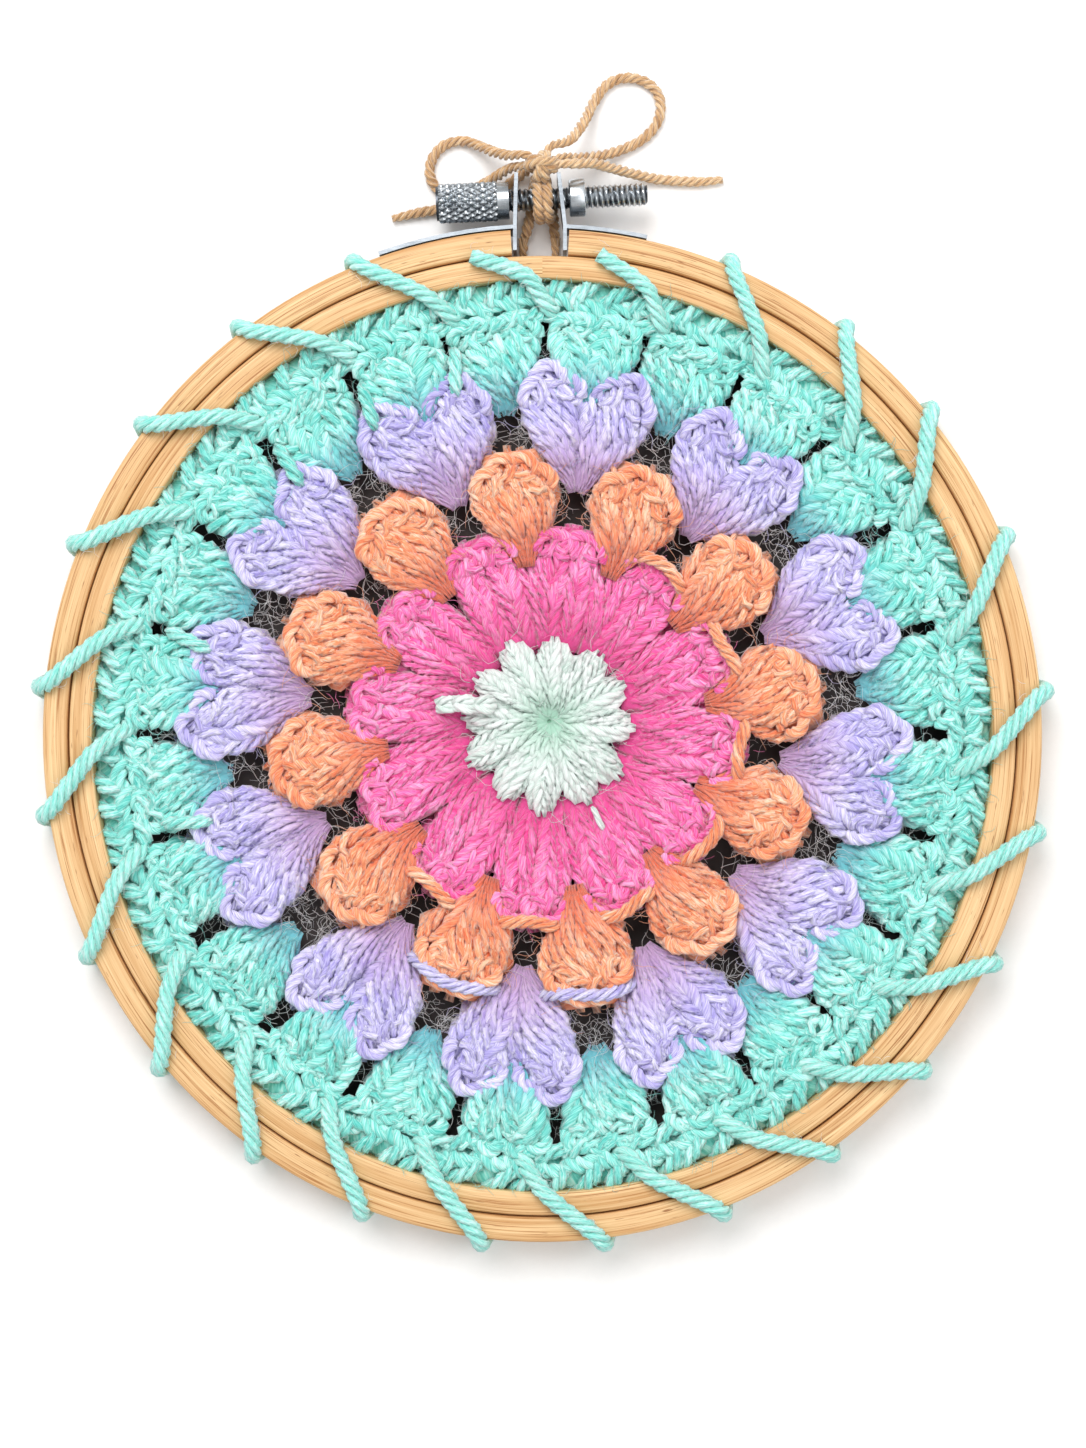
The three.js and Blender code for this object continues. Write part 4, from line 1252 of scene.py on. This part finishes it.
wrap = Yarn()
wrap_route = leg(*LEFT_LEG) + wrap_turns() + leg(*RIGHT_LEG)[::-1]
wrap.strand(curve(wrap_route, 0.45), TWINE * 1.1, **TWIST)
finished(wrap.build("twine_turns", pinched), "jute_twine", TWINE_FINISH, "twine_wrap")

# %% [markdown]
# The knot is drawn tight, so only its outer turns show. Each is most of a ring that stands on
# edge and bows a little. A plain lump inside closes the middle.

# %% Knot
KNOT_AT = (91.0, 91.1)
# The lump: heights of its sections, and half their width and depth.
LUMP_Z = np.linspace(8.4, 11.6, 5)
LUMP_WIDE = [0.7, 1.5, 1.7, 1.5, 0.7]
LUMP_DEEP = [0.7, 1.7, 1.9, 1.7, 0.7]
# The turns: how far each is turned about the upright, how much it bows, and its radius.
KNOT_TURNS = [(0.2, 1.0, 2.3), (-0.3, 0.8, 2.1), (1.3, 1.0, 2.0), (1.8, 0.7, 1.9)]
knot = Yarn()
across, over = np.array([[1.0, 0, 0]] * 5), np.array([[0, 1.0, 0]] * 5)
lump = np.stack([np.zeros(5), np.full(5, KNOT_AT[0]), LUMP_Z], axis=1)
knot.tube(lump, across, over, LUMP_WIDE, LUMP_DEEP, 10)
for tilt, bend, size in KNOT_TURNS:
    angle = np.linspace(-0.4, math.tau - 0.1, 20)
    bow = 0.5 * bend * np.sin(angle * 0.5)
    upright = np.stack([size * np.cos(angle), bow, size * np.sin(angle)], axis=1)
    c, s = math.cos(tilt), math.sin(tilt)
    line = upright @ np.array([[c, s, 0], [-s, c, 0], [0, 0, 1]]) + (0.2 * tilt, KNOT_AT[1], 10.1)
    knot.strand(even(line, 0.4), TWINE * 0.95, **TWIST)
finished(knot.build("twine_tied", above_floor), "jute_twine", TWINE_FINISH, "twine_knot")

# %% [markdown]
# Loose hairs also cross the gaps of the flower and stand along the lashing. They belong to no
# cluster, so they are one piece of their own.

# %% Fuzz
# A full turn for the hairs' headings, in radians.
ALL_WAYS = 6.28
# Each row: radius of the gaps, the clusters beside them, degrees aside, and hairs on each side.
GAPS = [
    (36.5, HEARTS, 5.5, 22),
    (48.6, PUFFS, 4.5, 44),
    (59.0, SHELLS, 7.4, 16),
    (64.3, SHELLS, 0.0, 3),
]
fuzz = Yarn()
for radius, clocks, beside, amount in GAPS:
    for clock in clocks:
        for aside in (-beside,) * amount + (beside,) * amount:
            far = radius + RANDOM.normal(0, 1.8)
            at = settle(spot(far, clock + aside + RANDOM.normal(0, 1.6)))[0]
            at[2] = RANDOM.uniform(5.5, 9.6)
            start = at - np.array([2.2, 2.2, 0]) * RANDOM.uniform(-1, 1, 3)
            curl = RANDOM.normal(0, 0.75)
            hair(fuzz, start, RANDOM.uniform(0, ALL_WAYS), RANDOM.uniform(3, 6.5), curl, 0.085)
for clock in (FIRST, *WRAPS, LAST):
    for _ in range(10):
        share = RANDOM.uniform(0, 1)
        aside = clock + LEAN * share + RANDOM.normal(0, 0.7)
        start = np.array(hoop_spot(OUTSIDE - 1.5 - 12 * share, aside, LYING + 0.9))
        curl = RANDOM.normal(0, 0.4)
        hair(fuzz, start, RANDOM.uniform(0, ALL_WAYS), RANDOM.uniform(1.2, 2.6), curl, 0.07)
finished(fuzz.build("yarn_fuzz", above_floor), "pale_yarn", YARN_FINISH["pale_fuzz"])

# %% [markdown]
# The floor is one pale sheet of paper, a little mottled. It belongs to the stage.

# %% Floor
def mottled(name, rough, scale, detail, first, second):
    """A finish of two close colours that a fine noise mixes."""
    finish = Finish(name, Roughness=rough)
    grain = finish.noise(finish.places(), scale, detail, 0.6)
    finish.use(Base_Color=finish.mixed(grain, linear(*first), linear(*second)))
    return finish.material


deselected()
bpy.ops.mesh.primitive_plane_add(size=3.0, location=(0, 0, 0))
floor = settled("floor")
paper = mottled("pale_floor", 0.9, 900.0, 3.0, (246, 246, 246), (252, 252, 252))
floor.data.materials.append(paper)

# %% [markdown]
# Through the gaps of the flower there is no white but a dark, warm grey, the shade under the flower.
# So a round of dark card lies on the paper inside the hoop as painted shade. It belongs to the stage
# and not to the piece.

# %% Painted shade card
CARD_RADIUS = INSIDE - 0.5
CARD_Z = 0.03
deselected()
bpy.ops.mesh.primitive_circle_add(
    vertices=96, radius=CARD_RADIUS * MM, fill_type="NGON", location=(HOOP.x, HOOP.y, CARD_Z * MM)
)
card = settled("painted_shade_card")
# The card's dark mottled colour is painted shade under the flower.
card.data.materials.append(mottled("painted_shade_card", 0.95, 700.0, 4.0, (84, 78, 76), (100, 94, 92)))

# %% [markdown]
# The light is soft, as in a small photo tent. A big round panel stands beyond the clamp on the
# left, a wider one fills in from the right, and a pale world lifts the shadows.

# %% Lights
WORLD_LIGHT = 0.565


def panel(name, location, size, power):
    """A round area light that looks at the middle of the scene."""
    deselected()
    bpy.ops.object.light_add(type="AREA", location=location)
    lamp = bpy.context.object
    lamp.name = name
    lamp.data.shape = "DISK"
    lamp.data.size = size
    lamp.data.energy = power
    aim = Vector((0, 0, 0)) - Vector(location)
    lamp.rotation_euler = aim.to_track_quat("-Z", "Y").to_euler()
    print(name, power, "W")


panel("key", (-0.2, 0.45, 0.8), 0.6, 6.6)
panel("fill", (0.5, -0.1, 0.9), 0.9, 3.2)
world = bpy.data.worlds.new("studio")
bpy.context.scene.world = world
world.use_nodes = True
background = world.node_tree.nodes["Background"]
background.inputs["Color"].default_value = (1, 1, 1, 1)
background.inputs["Strength"].default_value = WORLD_LIGHT

# %% [markdown]
# The last cell prints a closing line.

# %% End
print("the scene is made")
